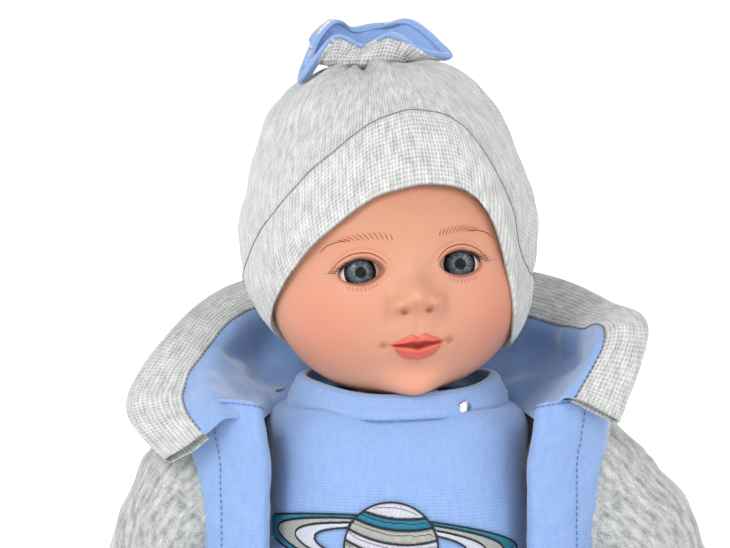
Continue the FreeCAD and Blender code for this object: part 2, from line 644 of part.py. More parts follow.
def build_leg():
    thigh = limb("thigh", "thigh_dia/2", "knee_dia/2", "thigh_length")
    stub = rod("hip_stub", ("crotch_half_width + leg_clearance", "leg_y", "leg_z"),
               "leg_stub_dia/2", "leg_x - crotch_half_width - leg_clearance", ALONG_X)
    keep_pair(fuse("stuffed_thigh", place(thigh, *LIMB_PLACE), stub), "thigh")

    shin = taper("shin", ("0", "0 - thigh_length", "0"), "shin_dia/2", "ankle_dia/2",
                 "shin_length", ALONG_FRONT)
    foot_y = "0 - thigh_length - shin_length - foot_depth*0.3"
    heel_z = "foot_depth/2 + 0.4 - leg_z"
    sole_length = "foot_height - foot_depth/2 - toe_dia*0.7"
    sole = place(limb("sole", "foot_depth/2", "foot_width*0.38", sole_length),
                 ("0", foot_y, heel_z), ("0", "0", "180"))
    toes = [sphere(f"toe_{index}", (f"({index} - 2)*toe_dia*0.72", f"{foot_y} + 1",
                                    f"{heel_z} + {sole_length} - {abs(index - 1)}*0.9"),
                   f"toe_dia*(0.66 - {index}*0.06)") for index in range(5)]
    keep_pair(place(fuse("foot", shin, sole, *toes), *LEG_PLACE), "foot")

    outer = rod("leg_tie_outer", ("0", "3 - thigh_length", "0"), "knee_dia/2 + 1.6", "tie_width",
                ALONG_FRONT)
    inner = rod("leg_tie_inner", ("0", "4 - thigh_length", "0"), "knee_dia/2 + 0.6",
                "tie_width + 2", ALONG_FRONT)
    keep_pair(place(cut("leg_tie", outer, inner), *LEG_PLACE), "leg_tie")

    shell = place(limb("trouser_shell", "trouser_dia/2", "trouser_end_dia/2", "trouser_length",
                       "trouser_cloth"), *LIMB_PLACE)
    hole = rod("trouser_stub_hole", ("0", "leg_y", "leg_z"), "leg_stub_dia/2", "leg_x", ALONG_X)
    keep_pair(cut("trouser_leg", shell, hole), "trouser_leg")


# ---- sound module -------------------------------------------------------------------------------

def bosses(name, radius, start, length):
    """Four round posts near the module's corners."""
    posts = []
    for index, (side, rise) in enumerate(((-1, -1), (-1, 1), (1, -1), (1, 1))):
        at = (f"{side}*(module_width/2 - screw_inset)", start,
              f"module_z + {rise}*(module_height/2 - screw_inset)")
        posts.append(rod(f"{name}_{index}", at, radius, length, ALONG_FRONT))
    return posts


def build_module():
    low_z = "module_z - module_height/2"
    split = "module_front + module_split"
    button_at = "module_z + button_height"

    def case_half(name, start, inner_start, depth):
        outer = box(name + "_outer", ("-module_width/2", start, low_z), "module_width", depth,
                    "module_height")
        inner = box(name + "_inner", ("module_wall - module_width/2", inner_start,
                                      low_z + " + module_wall"), "module_width - 2*module_wall",
                    depth, "module_height - 2*module_wall")
        return cut(name + "_half", outer, inner)

    front = case_half("front_case", "module_front", "module_front + module_wall", "module_split")
    front = fuse("front_bossed", front, *bosses("front_boss", "boss_dia/2", split,
                                                "module_split - module_wall/2"))
    grille = [rod(f"grille_{index}", (f"({index} - 2)*5", "module_front + 5",
                                      "module_z - speaker_drop"), "1.3", "10",
                  ALONG_FRONT) for index in range(5)]
    grille += [rod(f"grille_row_{index}", (f"({index % 4} - 1.5)*5", "module_front + 5",
                                           f"module_z - speaker_drop + ({index // 4}*2 - 1)*5"),
                   "1.3", "10", ALONG_FRONT) for index in range(8)]
    button_hole = rod("button_hole", ("0", "module_front + 5", button_at),
                      "button_dia/2 + button_clearance", "10", ALONG_FRONT)
    screw_holes = bosses("front_thread", "screw_dia/2", split + " + 1", "module_split - 3")
    keep(cut("module_front_case", front, button_hole, *grille, *screw_holes),
         "module_front_case")

    rear_depth = "module_depth - module_split"
    rear_face = "module_front + module_depth"
    rear = case_half("rear_case", split, split + " - module_wall", rear_depth)
    rear = fuse("rear_bossed", rear,
                *bosses("rear_boss", "boss_dia/2", rear_face + " - 0.5", rear_depth + " - 0.5"))
    door_z = "module_z - module_height/2 + 3"
    door_hole = box("door_hole", ("0 - door_width/2 - door_gap", rear_face + " - 5",
                                  door_z + " - door_gap"), "door_width + 2*door_gap", "10",
                    "door_height + 2*door_gap")
    switch_slot = box("switch_slot", ("switch_x - switch_width/2 - 0.3", rear_face + " - 5",
                                      "module_z + switch_rise - switch_height/2 - 0.2"),
                      "switch_width + switch_travel + 0.6 - 1", "10", "switch_height + 0.4")
    heads = bosses("head_room", "screw_head_dia/2 + 0.1", rear_face + " + 1", "3")
    holes = bosses("rear_hole", "screw_dia/2 + 0.1", rear_face + " + 1", "module_depth")
    post = rod("door_post", ("0", rear_face + " - module_wall", "module_z + 22"), "2.2",
               "8", ALONG_FRONT)
    post_rib = box("door_post_rib", ("0 - module_width/2 + 0.5", rear_face + " - module_wall - 8",
                                     "module_z + 21"), "module_width - 1", "2", "2")
    rear = cut("rear_holed", rear, door_hole, switch_slot, *heads, *holes)
    post_bore = rod("door_post_bore", ("0", rear_face + " + 1", "module_z + 22"),
                    "screw_dia/2 - 0.4", "9.5", ALONG_FRONT)
    ribs = cut("rear_post", fuse("rear_posts", post, post_rib), post_bore,
               *bosses("rib_hole", "screw_dia/2 + 0.1", rear_face + " + 1", "module_depth"))
    keep(fuse("module_rear_case", rear, ribs), "module_rear_case")

    shanks = bosses("screw_shank", "screw_dia/2", rear_face + " - 2", "module_depth - 6")
    caps = bosses("screw_head", "screw_head_dia/2", rear_face + " - 0.1", "1.9")
    screws = [fuse(f"case_screw_{index}", shank, cap)
              for index, (shank, cap) in enumerate(zip(shanks, caps))]
    keep(group("case_screws", *screws), "case_screws")

    speaker_z = "module_z - speaker_drop"
    frame = rod("speaker_frame", ("0", "module_front + module_wall + 2.5", speaker_z),
                "speaker_dia/2", "2.5", ALONG_FRONT)
    basket = taper("speaker_basket", ("0", "module_front + module_wall + 2", speaker_z),
                   "speaker_dia*0.42", "speaker_dia*0.25", "5", ("0", "0", "-90"))
    magnet = rod("speaker_magnet", ("0", "module_front + module_wall + 10", speaker_z),
                 "speaker_dia*0.27", "4", ALONG_FRONT)
    keep(fuse("speaker", frame, basket, magnet), "speaker")

    board = box("board_plate", ("0 - board_width/2", "module_front + board_back",
                                button_at + " - board_height/2"),
                "board_width", "board_thick", "board_height")
    chip = rod("board_chip", ("12", "module_front + board_back", button_at), "4", "1.2", ALONG_FRONT)
    dome = rod("board_dome", ("0", "module_front + board_back", button_at), "2.4", "0.8", ALONG_FRONT)
    keep(fuse("circuit_board", board, chip, dome), "circuit_board")

    cells = [rod(f"cell_{index}", (f"({index} - 1)*(cell_dia + 0.4)",
                                   rear_face + " - module_wall - cell_dia/2 - 0.2",
                                   door_z + " - 0.4"), "cell_dia/2", "cell_length")
             for index in range(3)]
    keep(group("batteries", *cells), "batteries")
    contacts = []
    for index in range(3):
        for end, z in (("low", door_z + " - 0.9"), ("high", door_z + " - 0.4 + cell_length")):
            contacts.append(box(f"contact_{end}_{index}", (
                f"({index} - 1)*(cell_dia + 0.4) - 4",
                rear_face + " - module_wall - cell_dia/2 - 4.2", z), "8", "8", "0.5"))
    keep(group("battery_contacts", *contacts), "battery_contacts")

    door = box("door_plate", ("0 - door_width/2", rear_face + " - module_wall", door_z),
               "door_width", "module_wall", "door_height")
    door_bore = rod("door_bore", ("0", rear_face + " + 1", "module_z + 22"),
                    "screw_dia/2 + 0.1", "5", ALONG_FRONT)
    keep(cut("battery_door", door, door_bore), "battery_door")
    shank = rod("door_screw_shank", ("0", rear_face, "module_z + 22"), "screw_dia/2 - 0.4", "8",
                ALONG_FRONT)
    head = rod("door_screw_head", ("0", rear_face + " + 1.4", "module_z + 22"),
               "screw_head_dia/2", "1.4", ALONG_FRONT)
    keep(fuse("battery_door_screw", shank, head), "battery_door_screw")


def build_controls():
    button_at = "module_z + button_height"
    wall_inside = "module_front + module_wall"
    cap = rod("button_cap", ("0", wall_inside + " + button_flange", button_at), "button_dia/2",
              "module_wall + button_flange + button_proud", ALONG_FRONT)
    flange = rod("button_rim", ("0", wall_inside + " + button_flange + 0.1", button_at),
                 "button_dia/2 + 1.5", "button_flange", ALONG_FRONT)
    keep(fuse("belly_button", cap, flange), "belly_button")
    spring_start = wall_inside + " + button_flange + 0.4"
    spring_end = ("0", "module_front + board_back - 0.5", button_at)
    turns = primitive("Part::Helix", "spring_line", spring_end, ("0", "0", "90"),
                      Pitch="1.7", Radius="spring_dia/2",
                      Height=f"module_front + board_back - 1.2 - ({spring_start})")
    wire = primitive("Part::RegularPolygon", "spring_wire", ("spring_dia/2", *spring_end[1:]),
                     ("0", "0", "0"), Circumradius="spring_wire/2")
    wire.Polygon = 6
    coil = doc.addObject("Part::Sweep", "button_spring")
    coil.Sections = [wire]
    coil.Spine = (turns, [])
    coil.Solid = True
    coil.Frenet = True
    keep(coil, "button_spring")

    rear_face = "module_front + module_depth"
    level = "module_z + switch_rise"
    knob = box("switch_knob", ("switch_x - switch_width/2", rear_face + " - module_wall - 0.5",
                               level + " - switch_height/2"), "switch_width - 1", "module_wall + 2",
               "switch_height")
    shoe = box("switch_shoe", ("switch_x - switch_width/2 - 2.4", rear_face + " - module_wall - 2.1",
                               level + " - switch_height/2 - 0.5"), "switch_width + 1.8", "1.8",
               "switch_height + 1")
    keep(fuse("power_switch", knob, shoe), "power_switch")


# ---- build, check and write ---------------------------------------------------------------------

def check_document():
    doc.recompute()
    failed = [piece.Name for piece in doc.Objects
              if "Invalid" in piece.State or "Error" in piece.State]
    failed += [piece.Label for piece in nodes
               if piece.Shape.isNull() or not piece.Shape.isValid() or not piece.Shape.Solids]
    if failed:
        raise RuntimeError("failed: " + ", ".join(failed))


def write_parts():
    os.makedirs("parts", exist_ok=True)
    for piece in nodes:
        piece.Shape.exportStep(f"parts/{piece.Label}.step")


fill_sheet()
build_head()
build_hat()
for eye_side, eye_label in ((1, "left"), (-1, "right")):
    build_eye(eye_side, eye_label)
    build_socket(eye_side, eye_label)
build_torso()
build_neck()
build_pullover()
build_trousers()
build_jacket()
build_hood()
build_arm()
build_leg()
build_module()
build_controls()
check_document()
write_parts()
print(len(nodes), "sub-parts written")
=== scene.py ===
"""Looks of the seated interactive baby doll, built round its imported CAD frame.

Lengths inside the helpers are millimetres.  `doll` turns a point measured from the floor under the
doll's middle into the row frame, and `head` does the same for a point in the head's own axes:
x to the doll's left, y backwards, z up.
"""
import bpy
import json
import math
import numpy as np
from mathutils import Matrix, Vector
from mathutils.bvhtree import BVHTree


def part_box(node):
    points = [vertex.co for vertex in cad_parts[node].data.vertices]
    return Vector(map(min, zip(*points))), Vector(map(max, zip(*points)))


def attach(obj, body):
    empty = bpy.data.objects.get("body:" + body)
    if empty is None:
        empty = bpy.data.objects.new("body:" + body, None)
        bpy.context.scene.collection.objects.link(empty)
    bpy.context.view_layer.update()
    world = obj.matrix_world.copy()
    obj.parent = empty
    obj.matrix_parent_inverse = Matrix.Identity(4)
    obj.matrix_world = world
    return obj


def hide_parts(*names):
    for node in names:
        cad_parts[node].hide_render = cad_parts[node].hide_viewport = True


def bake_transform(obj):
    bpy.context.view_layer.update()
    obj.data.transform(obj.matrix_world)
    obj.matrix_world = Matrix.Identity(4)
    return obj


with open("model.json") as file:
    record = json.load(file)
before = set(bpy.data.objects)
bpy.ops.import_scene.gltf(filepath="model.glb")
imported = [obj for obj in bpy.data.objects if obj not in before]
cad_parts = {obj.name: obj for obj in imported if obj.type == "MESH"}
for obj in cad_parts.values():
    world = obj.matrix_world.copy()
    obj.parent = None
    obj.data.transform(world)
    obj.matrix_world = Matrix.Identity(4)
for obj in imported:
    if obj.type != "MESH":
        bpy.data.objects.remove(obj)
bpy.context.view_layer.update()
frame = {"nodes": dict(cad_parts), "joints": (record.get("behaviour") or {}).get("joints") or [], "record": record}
MM = 0.001
joints = {joint["name"]: joint for joint in frame["joints"]}

# ---- places taken from the frame ----------------------------------------------------------------

NECK_FROM_FLOOR = np.array([0.0, 5.0, 165.0])
DOLL_ORIGIN = np.array(joints["head_turn"]["pos_m"])/MM - NECK_FROM_FLOOR
HEAD_YAW, HEAD_LEAN, HEAD_NOD = 8.5, -4.0, -6.0
EYE_SPACING, EYE_Y, EYE_Z = 43.5, -38.0, -10.8
EYE_RADIUS, IRIS_RADIUS, PUPIL_RADIUS = 11.5, 7.0, 2.38


def rotation(yaw, lean, nod):
    """Turn about X, then Y, then Z, by angles in degrees."""
    a, b, c = (math.radians(angle) for angle in (yaw, lean, nod))
    about_z = np.array([[math.cos(a), -math.sin(a), 0], [math.sin(a), math.cos(a), 0], [0, 0, 1]])
    about_y = np.array([[math.cos(b), 0, math.sin(b)], [0, 1, 0], [-math.sin(b), 0, math.cos(b)]])
    about_x = np.array([[1, 0, 0], [0, math.cos(c), -math.sin(c)], [0, math.sin(c), math.cos(c)]])
    return about_z @ about_y @ about_x


HEAD_TURN = rotation(HEAD_YAW, HEAD_LEAN, HEAD_NOD)
EYE_MIDDLE = sum(np.array(joints[f"eye_{side}_close"]["pos_m"]) for side in ("left", "right"))/2/MM
HEAD_ORIGIN = EYE_MIDDLE - HEAD_TURN @ np.array([0, EYE_Y, EYE_Z])


def doll(points):
    """The doll's own millimetres to the row frame."""
    return (np.asarray(points, float) + DOLL_ORIGIN)*MM


def head(points):
    """Head axes to the row frame."""
    return (np.asarray(points, float) @ HEAD_TURN.T + HEAD_ORIGIN)*MM


def from_head(points):
    """Head axes to the doll's own millimetres."""
    return np.asarray(points, float) @ HEAD_TURN.T + HEAD_ORIGIN - DOLL_ORIGIN


def box_of(name):
    """Low and high corners of a CAD piece, in the doll's own millimetres."""
    return [np.array(corner)/MM - DOLL_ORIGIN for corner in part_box(name)]


# ---- mesh helpers -------------------------------------------------------------------------------

def around(count):
    """Angles of a full turn, in radians, without the last one twice."""
    return np.linspace(0, 2*math.pi, count, endpoint=False)


def smooth(value, low, high):
    """0 at low and below, 1 at high and above, with a soft step between."""
    t = np.clip((value - low)/(high - low), 0, 1)
    return t*t*(3 - 2*t)


def bell(x, z, at, spread):
    """A smooth bump of height 1 over a place, with its spread each way."""
    return np.exp(-((x - at[0])/spread[0])**2 - ((z - at[1])/spread[1])**2)


def resample(points, count, closed=False):
    """Catmull-Rom curve through the first axis of an array, sampled evenly in its parameter."""
    points = np.asarray(points, float)
    total = len(points)
    spans = total if closed else total - 1
    t = np.linspace(0, spans, count, endpoint=not closed)
    base = np.minimum(t.astype(int), spans - 1)
    part = (t - base).reshape((-1,) + (1,)*(points.ndim - 1))

    def at(index):
        return points[index % total] if closed else points[np.clip(index, 0, total - 1)]

    p0, p1, p2, p3 = at(base - 1), at(base), at(base + 1), at(base + 2)
    return 0.5*(2*p1 + (p2 - p0)*part + (2*p0 - 5*p1 + 4*p2 - p3)*part**2
                + (3*p1 - p0 - 3*p2 + p3)*part**3)


def loft(net, rows, columns, closed=False):
    """A smooth grid of rows x columns through a control net of points."""
    along = resample(net, rows)
    return np.swapaxes(resample(np.swapaxes(along, 0, 1), columns, closed), 0, 1)


def grid_normals(points, closed=False):
    if closed:
        wide = np.concatenate([points[:, -1:], points, points[:, :1]], 1)
        across = wide[:, 2:] - wide[:, :-2]
    else:
        across = np.gradient(points, axis=1)
    down = np.gradient(points, axis=0)
    normal = np.cross(across, down)
    length = np.linalg.norm(normal, axis=-1, keepdims=True)
    return normal/np.maximum(length, 1e-9)


def outward_of(points, closed=False, middle=None):
    """Unit normals of a grid, turned so that they point away from its middle."""
    normal = grid_normals(points, closed)
    if middle is None:
        middle = points.mean((0, 1))
    return normal*np.sign((normal*(points - middle)).sum(-1).mean())


def ring_path(ring):
    """A closed ring of points as a path that comes back over its own start."""
    return np.concatenate([ring, ring[:2]])


def waves(points, length, seed, count=14):
    """Smooth random heights from -1 to 1 over points, with ripples of about that length."""
    source = np.random.default_rng(seed)
    total = np.zeros(points.shape[:-1])
    for _ in range(count):
        direction = source.normal(size=3)
        direction *= 2*math.pi/(length*source.uniform(0.7, 1.6))/np.linalg.norm(direction)
        total += np.sin(points @ direction + source.uniform(0, 2*math.pi))
    return total/math.sqrt(count)


def new_object(name, vertices, faces, material):
    mesh = bpy.data.meshes.new(name)
    mesh.from_pydata(np.asarray(vertices).tolist(), [], [list(map(int, face)) for face in faces])
    piece = bpy.data.objects.new(name, mesh)
    bpy.context.scene.collection.objects.link(piece)
    mesh.materials.append(material)
    mesh.shade_smooth()
    return piece


def grid(name, points, material, flat, closed=False, flip=False):
    """A mesh over a grid of row-frame points; flat is the cloth's width and length in mm."""
    rows, columns = points.shape[:2]
    spans = columns if closed else columns - 1
    i, j = np.meshgrid(np.arange(rows - 1), np.arange(spans), indexing="ij")
    k = (j + 1) % columns
    corners = [(i, j, j), (i, k, j + 1), (i + 1, k, j + 1), (i + 1, j, j)]
    if flip:
        corners.reverse()
    faces = np.stack([row*columns + column for row, column, _ in corners], -1).reshape(-1, 4)
    piece = new_object(name, points.reshape(-1, 3), faces, material)
    u = np.stack([across/spans*flat[0]*MM for _, _, across in corners], -1)
    v = np.stack([row/(rows - 1)*flat[1]*MM for row, _, _ in corners], -1)
    layer = piece.data.uv_layers.new(name="weave")
    layer.data.foreach_set("uv", np.stack([u, v], -1).astype(np.float32).ravel())
    return piece


def paint(piece, colours):
    """Colours of the vinyl at every vertex, with how glossy it is as the fourth value."""
    layer = piece.data.color_attributes.new(name="paint", type="FLOAT_COLOR", domain="POINT")
    layer.data.foreach_set("color", np.asarray(colours, np.float32).ravel())


def paint_evenly(piece, colour, gloss):
    count = len(piece.data.vertices)
    paint(piece, np.tile(list(colour[:3]) + [gloss], (count, 1)))


def apply_modifiers(piece):
    """Turn a piece's modifiers into its mesh."""
    bpy.context.view_layer.update()
    depsgraph = bpy.context.evaluated_depsgraph_get()
    mesh = bpy.data.meshes.new_from_object(piece.evaluated_get(depsgraph))
    piece.modifiers.clear()
    piece.data = mesh
    return piece


def thicken(piece, thickness, offset=-1.0):
    """Give a sheet a thickness in mm: offset -1 lays it all behind the sheet, 0 half each way."""
    shell = piece.modifiers.new("thickness", "SOLIDIFY")
    shell.thickness = thickness*MM
    shell.offset = offset
    shell.use_even_offset = False
    return apply_modifiers(piece)


def tubes(name, paths, radii, material, sides=5):
    """One mesh of round threads: each path is an array of row-frame points, with its radii in mm."""
    vertices, faces = [], []
    count = 0
    angles = np.arange(sides)*2*math.pi/sides
    helper = np.array([0.31, 0.17, 0.93])
    for path, radius in zip(paths, radii):
        path = np.asarray(path, float)
        steps = len(path)
        tangent = np.gradient(path, axis=0)
        tangent /= np.maximum(np.linalg.norm(tangent, axis=1, keepdims=True), 1e-12)
        side = np.cross(tangent, helper)
        side /= np.maximum(np.linalg.norm(side, axis=1, keepdims=True), 1e-9)
        up = np.cross(tangent, side)
        size = np.broadcast_to(np.asarray(radius, float), (steps,))*MM
        ring = (side[:, None]*np.cos(angles)[None, :, None]
                + up[:, None]*np.sin(angles)[None, :, None])*size[:, None, None]
        vertices.append((path[:, None] + ring).reshape(-1, 3))
        i, j = np.meshgrid(np.arange(steps - 1), np.arange(sides), indexing="ij")
        k = (j + 1) % sides
        quads = np.stack([i*sides + j, i*sides + k, (i + 1)*sides + k, (i + 1)*sides + j], -1)
        faces += (quads.reshape(-1, 4) + count).tolist()
        faces.append(list(range(count + sides - 1, count - 1, -1)))
        last = count + (steps - 1)*sides
        faces.append(list(range(last, last + sides)))
        count += steps*sides
    return new_object(name, np.concatenate(vertices), faces, material)


def along(path, spacing):
    """Points a fixed distance apart along a polyline of row-frame points."""
    path = np.asarray(path, float)
    step = np.linalg.norm(np.diff(path, axis=0), axis=1)
    total = np.concatenate([[0], np.cumsum(step)])
    places = np.arange(0, total[-1], spacing*MM)
    return np.stack([np.interp(places, total, path[:, axis]) for axis in range(3)], 1)


def stitches(name, path, length, gap, radius, material, lift=None):
    """A row of separate stitches that follow a polyline lying on cloth."""
    spacing = 0.4
    dots = along(path, spacing)
    per_stitch, per_gap = max(3, round(length/spacing)), max(1, round(gap/spacing))
    shapes = []
    for start in range(0, len(dots) - per_stitch, per_stitch + per_gap):
        run = dots[start:start + per_stitch + 1]
        if lift is not None:
            bow = np.sin(np.linspace(0, math.pi, len(run)))
            run = run + np.outer(bow - 0.6, lift)*radius*MM
        shapes.append(run)
    return tubes(name, shapes, [radius]*len(shapes), material, 5)


# ---- materials ----------------------------------------------------------------------------------

def srgb(*channels):
    """An sRGB colour, 0 to 255 a channel, as linear RGBA."""
    values = [channel/255 for channel in channels]
    return [value/12.92 if value <= 0.04045 else ((value + 0.055)/1.055)**2.4
            for value in values] + [1.0]


def node(tree, kind, inputs=None, **settings):
    """A shader node whose inputs are each linked to a socket or set to a value."""
    made = tree.nodes.new(kind)
    for key, value in settings.items():
        setattr(made, key, value)
    for key, value in (inputs or {}).items():
        if isinstance(value, bpy.types.NodeSocket):
            tree.links.new(value, made.inputs[key])
        else:
            made.inputs[key].default_value = value
    return made


def new_material(name, **shader_values):
    material = bpy.data.materials.new(name)
    material.use_nodes = True
    tree = material.node_tree
    shader = tree.nodes["Principled BSDF"]
    for key, value in shader_values.items():
        shader.inputs[key.replace("_", " ")].default_value = value
    return material, tree, shader


def arithmetic(tree, operation, first, second):
    return node(tree, "ShaderNodeMath", {0: first, 1: second}, operation=operation).outputs[0]


def times(tree, first, second):
    return arithmetic(tree, "MULTIPLY", first, second)


def plus(tree, first, second):
    return arithmetic(tree, "ADD", first, second)


def ramp(tree, factor, stops):
    made = node(tree, "ShaderNodeValToRGB", {"Fac": factor})
    points = made.color_ramp.elements
    while len(points) < len(stops):
        points.new(0.5)
    for point, (position, colour) in zip(points, stops):
        point.position = position
        point.color = colour
    return made.outputs["Color"]


def mixed(tree, factor, first, second, blend="MIX"):
    return node(tree, "ShaderNodeMix", {0: factor, 6: first, 7: second}, data_type="RGBA",
                blend_type=blend).outputs[2]


def noise(tree, vector, scale, detail=2.0):
    return node(tree, "ShaderNodeTexNoise", {"Vector": vector, "Scale": scale, "Detail": detail})


def stretched(tree, vector, scale):
    return node(tree, "ShaderNodeMapping", {"Vector": vector, "Scale": scale}).outputs[0]


def add_relief(tree, shader, height, strength, depth):
    """Bump a shader's surface by a height from 0 to 1 that stands for depth mm."""
    relief = node(tree, "ShaderNodeBump", {"Height": height, "Strength": strength,
                                           "Distance": depth*MM})
    tree.links.new(relief.outputs[0], shader.inputs["Normal"])


def cloth(name, pale, deep, pitch, ribs, fibre, bump, sheen=0.35, blotch=0.35):
    """Knitted cloth on the weave coordinates.

    pitch is the size of a knit cell in mm, ribs how strongly its columns and rows show, fibre how
    much single fibres differ in colour, blotch how much larger patches do.
    """
    material, tree, shader = new_material(name, Roughness=0.95, Sheen_Weight=sheen,
                                          Sheen_Roughness=0.4)
    weave = node(tree, "ShaderNodeUVMap", uv_map="weave").outputs[0]
    parts = node(tree, "ShaderNodeSeparateXYZ", {0: weave})
    heights = []
    for axis, size, depth in zip("XY", pitch, ribs):
        wobble = noise(tree, stretched(tree, weave, (260, 260, 1)), 1.0).outputs["Fac"]
        turn = plus(tree, times(tree, parts.outputs[axis], 2*math.pi/(size*MM)),
                    times(tree, wobble, 1.6))
        heights.append(times(tree, arithmetic(tree, "COSINE", turn, 0.0), depth))
    rib = plus(tree, *heights)
    fine = noise(tree, stretched(tree, weave, (2600, 900, 1)), 1.0, 3.0).outputs["Fac"]
    coarse = noise(tree, stretched(tree, weave, (420, 130, 1)), 1.0, 3.0).outputs["Fac"]
    shade = times(tree, arithmetic(tree, "SUBTRACT", fine, 0.5), fibre)
    patch = times(tree, arithmetic(tree, "SUBTRACT", coarse, 0.5), blotch)
    # painted shade: the knit's ridges are coloured lighter and its hollows darker, on top of the fibres' and
    # patches' own colour
    level = plus(tree, plus(tree, plus(tree, shade, patch), times(tree, rib, 0.22)), 0.5)
    colour = ramp(tree, level, [(0.12, deep), (0.82, pale)])
    tree.links.new(colour, shader.inputs["Base Color"])
    add_relief(tree, shader, plus(tree, rib, times(tree, fine, 0.8)), 1.0, bump)
    return material


def make_skin():
    """Soft vinyl: painted colour with its painted shade and highlights, light under the surface, faint mould
    texture.
    """
    material, tree, shader = new_material("vinyl_skin", Subsurface_Weight=0.22,
                                          Subsurface_Radius=(0.9, 0.35, 0.18),
                                          Subsurface_Scale=0.004, IOR=1.45)
    painted = node(tree, "ShaderNodeAttribute", attribute_name="paint")
    place = node(tree, "ShaderNodeTexCoord").outputs["Object"]
    mottle = noise(tree, place, 90.0, 4.0).outputs["Fac"]
    tone = mixed(tree, times(tree, mottle, 0.12), painted.outputs["Color"],
                 srgb(214, 122, 96), "MULTIPLY")
    tree.links.new(tone, shader.inputs["Base Color"])
    rough = arithmetic(tree, "SUBTRACT", 0.46, times(tree, painted.outputs["Alpha"], 0.26))
    grain = noise(tree, place, 1400.0, 3.0).outputs["Fac"]
    tree.links.new(plus(tree, rough, times(tree, grain, 0.08)), shader.inputs["Roughness"])
    add_relief(tree, shader, grain, 0.25, 0.06)
    return material


def make_iris():
    """Radial fibres round a black pupil, with a dark outer ring, under a clear glossy coat."""
    material, tree, shader = new_material("iris_glass", Roughness=0.3, Specular_IOR_Level=0.15,
                                          Coat_Weight=0.22, Coat_Roughness=0.02)
    place = node(tree, "ShaderNodeAttribute", attribute_name="iris").outputs["Vector"]
    parts = node(tree, "ShaderNodeSeparateXYZ", {0: place})
    radius = parts.outputs["Z"]
    spokes = noise(tree, stretched(tree, place, (9, 9, 0.25)), 1.0, 3.0).outputs["Fac"]
    flecks = noise(tree, stretched(tree, place, (22, 22, 1.6)), 1.0, 2.0).outputs["Fac"]
    streak = plus(tree, times(tree, spokes, 0.6), times(tree, flecks, 0.55))
    fibres = ramp(tree, streak, [(0.42, srgb(28, 34, 42)), (0.56, srgb(68, 79, 92)),
                                 (0.74, srgb(136, 147, 158))])
    share, pupil = times(tree, radius, 1/IRIS_RADIUS), PUPIL_RADIUS/IRIS_RADIUS
    rim = ramp(tree, share, [(pupil, srgb(0, 0, 0)), (pupil + 0.045, srgb(255, 255, 255)),
                             (0.70, srgb(215, 215, 215)), (0.86, srgb(70, 72, 78)),
                             (0.95, srgb(6, 6, 8))])
    tree.links.new(mixed(tree, 1.0, fibres, rim, "MULTIPLY"), shader.inputs["Base Color"])
    return material


def make_eye_white():
    material, tree, shader = new_material("eye_white", Roughness=0.15, Coat_Weight=0.8,
                                          Coat_Roughness=0.03, Subsurface_Weight=0.1,
                                          Subsurface_Scale=0.002)
    place = node(tree, "ShaderNodeTexCoord").outputs["Object"]
    veins = noise(tree, place, 260.0, 5.0).outputs["Fac"]
    colour = ramp(tree, veins, [(0.3, srgb(222, 196, 196)), (0.6, srgb(236, 222, 222))])
    tree.links.new(colour, shader.inputs["Base Color"])
    return material


def plain(name, pale, deep, scale, roughness, metallic=0.0, bump=0.02):
    """A moulded, painted or metal surface with small changes of colour, gloss and height."""
    material, tree, shader = new_material(name, Metallic=metallic)
    place = node(tree, "ShaderNodeTexCoord").outputs["Object"]
    grain = noise(tree, place, scale, 4.0).outputs["Fac"]
    tree.links.new(ramp(tree, grain, [(0.3, deep), (0.7, pale)]), shader.inputs["Base Color"])
    tree.links.new(plus(tree, times(tree, grain, 0.15), roughness), shader.inputs["Roughness"])
    add_relief(tree, shader, grain, 0.5, bump)
    return material


GREY_PALE, GREY_DEEP = srgb(228, 230, 227), srgb(148, 149, 151)
BLUE_PALE, BLUE_DEEP = srgb(152, 181, 226), srgb(110, 143, 197)
# name, pale and deep colour, grain scale, roughness, then metallic and bump where they differ
PLAIN_FINISHES = [
    ("body_cloth", (238, 218, 200), (214, 186, 166), 900.0, 0.9, 0.0, 0.25),
    ("lash_fibre", (38, 26, 22), (20, 13, 11), 900.0, 0.4),
    ("brow_paint", (142, 78, 46), (108, 54, 30), 700.0, 0.5),
    ("grey_thread", (96, 98, 98), (58, 60, 60), 2500.0, 0.8),
    ("seam_thread", (128, 130, 130), (92, 94, 94), 2500.0, 0.8),
    ("blue_thread", (92, 126, 186), (66, 100, 160), 2500.0, 0.8),
    ("stud_metal", (232, 236, 240), (180, 184, 190), 300.0, 0.12, 1.0),
    ("black_thread", (26, 26, 32), (8, 8, 12), 3000.0, 0.55),
    ("teal_thread", (52, 146, 172), (20, 96, 124), 2600.0, 0.42),
    ("white_thread", (232, 232, 240), (176, 178, 194), 2600.0, 0.42),
    ("silver_thread", (206, 208, 200), (132, 136, 132), 2600.0, 0.4),
    ("blue_cord", (150, 180, 228), (112, 146, 200), 2000.0, 0.85),
    ("steel", (206, 206, 206), (160, 160, 162), 400.0, 0.28, 1.0),
    ("white_plastic", (232, 231, 226), (220, 218, 212), 300.0, 0.42),
    ("tie_plastic", (240, 240, 236), (224, 224, 220), 300.0, 0.3),
    ("fibre_fill", (246, 246, 244), (216, 216, 214), 800.0, 0.95, 0.0, 0.4),
    ("speaker_black", (34, 34, 36), (16, 16, 18), 500.0, 0.6),
    ("board_green", (30, 108, 64), (16, 76, 42), 260.0, 0.35),
    ("cell_case", (176, 140, 70), (126, 96, 44), 200.0, 0.3, 0.8),
    ("contact_brass", (218, 190, 110), (176, 146, 76), 400.0, 0.3, 1.0),
    ("button_red", (206, 62, 52), (176, 44, 38), 300.0, 0.25),
    ("switch_black", (38, 38, 40), (20, 20, 22), 400.0, 0.45),
    ("fleece_edge", (204, 206, 204), (150, 152, 152), 420.0, 0.95, 0.0, 0.3),
]
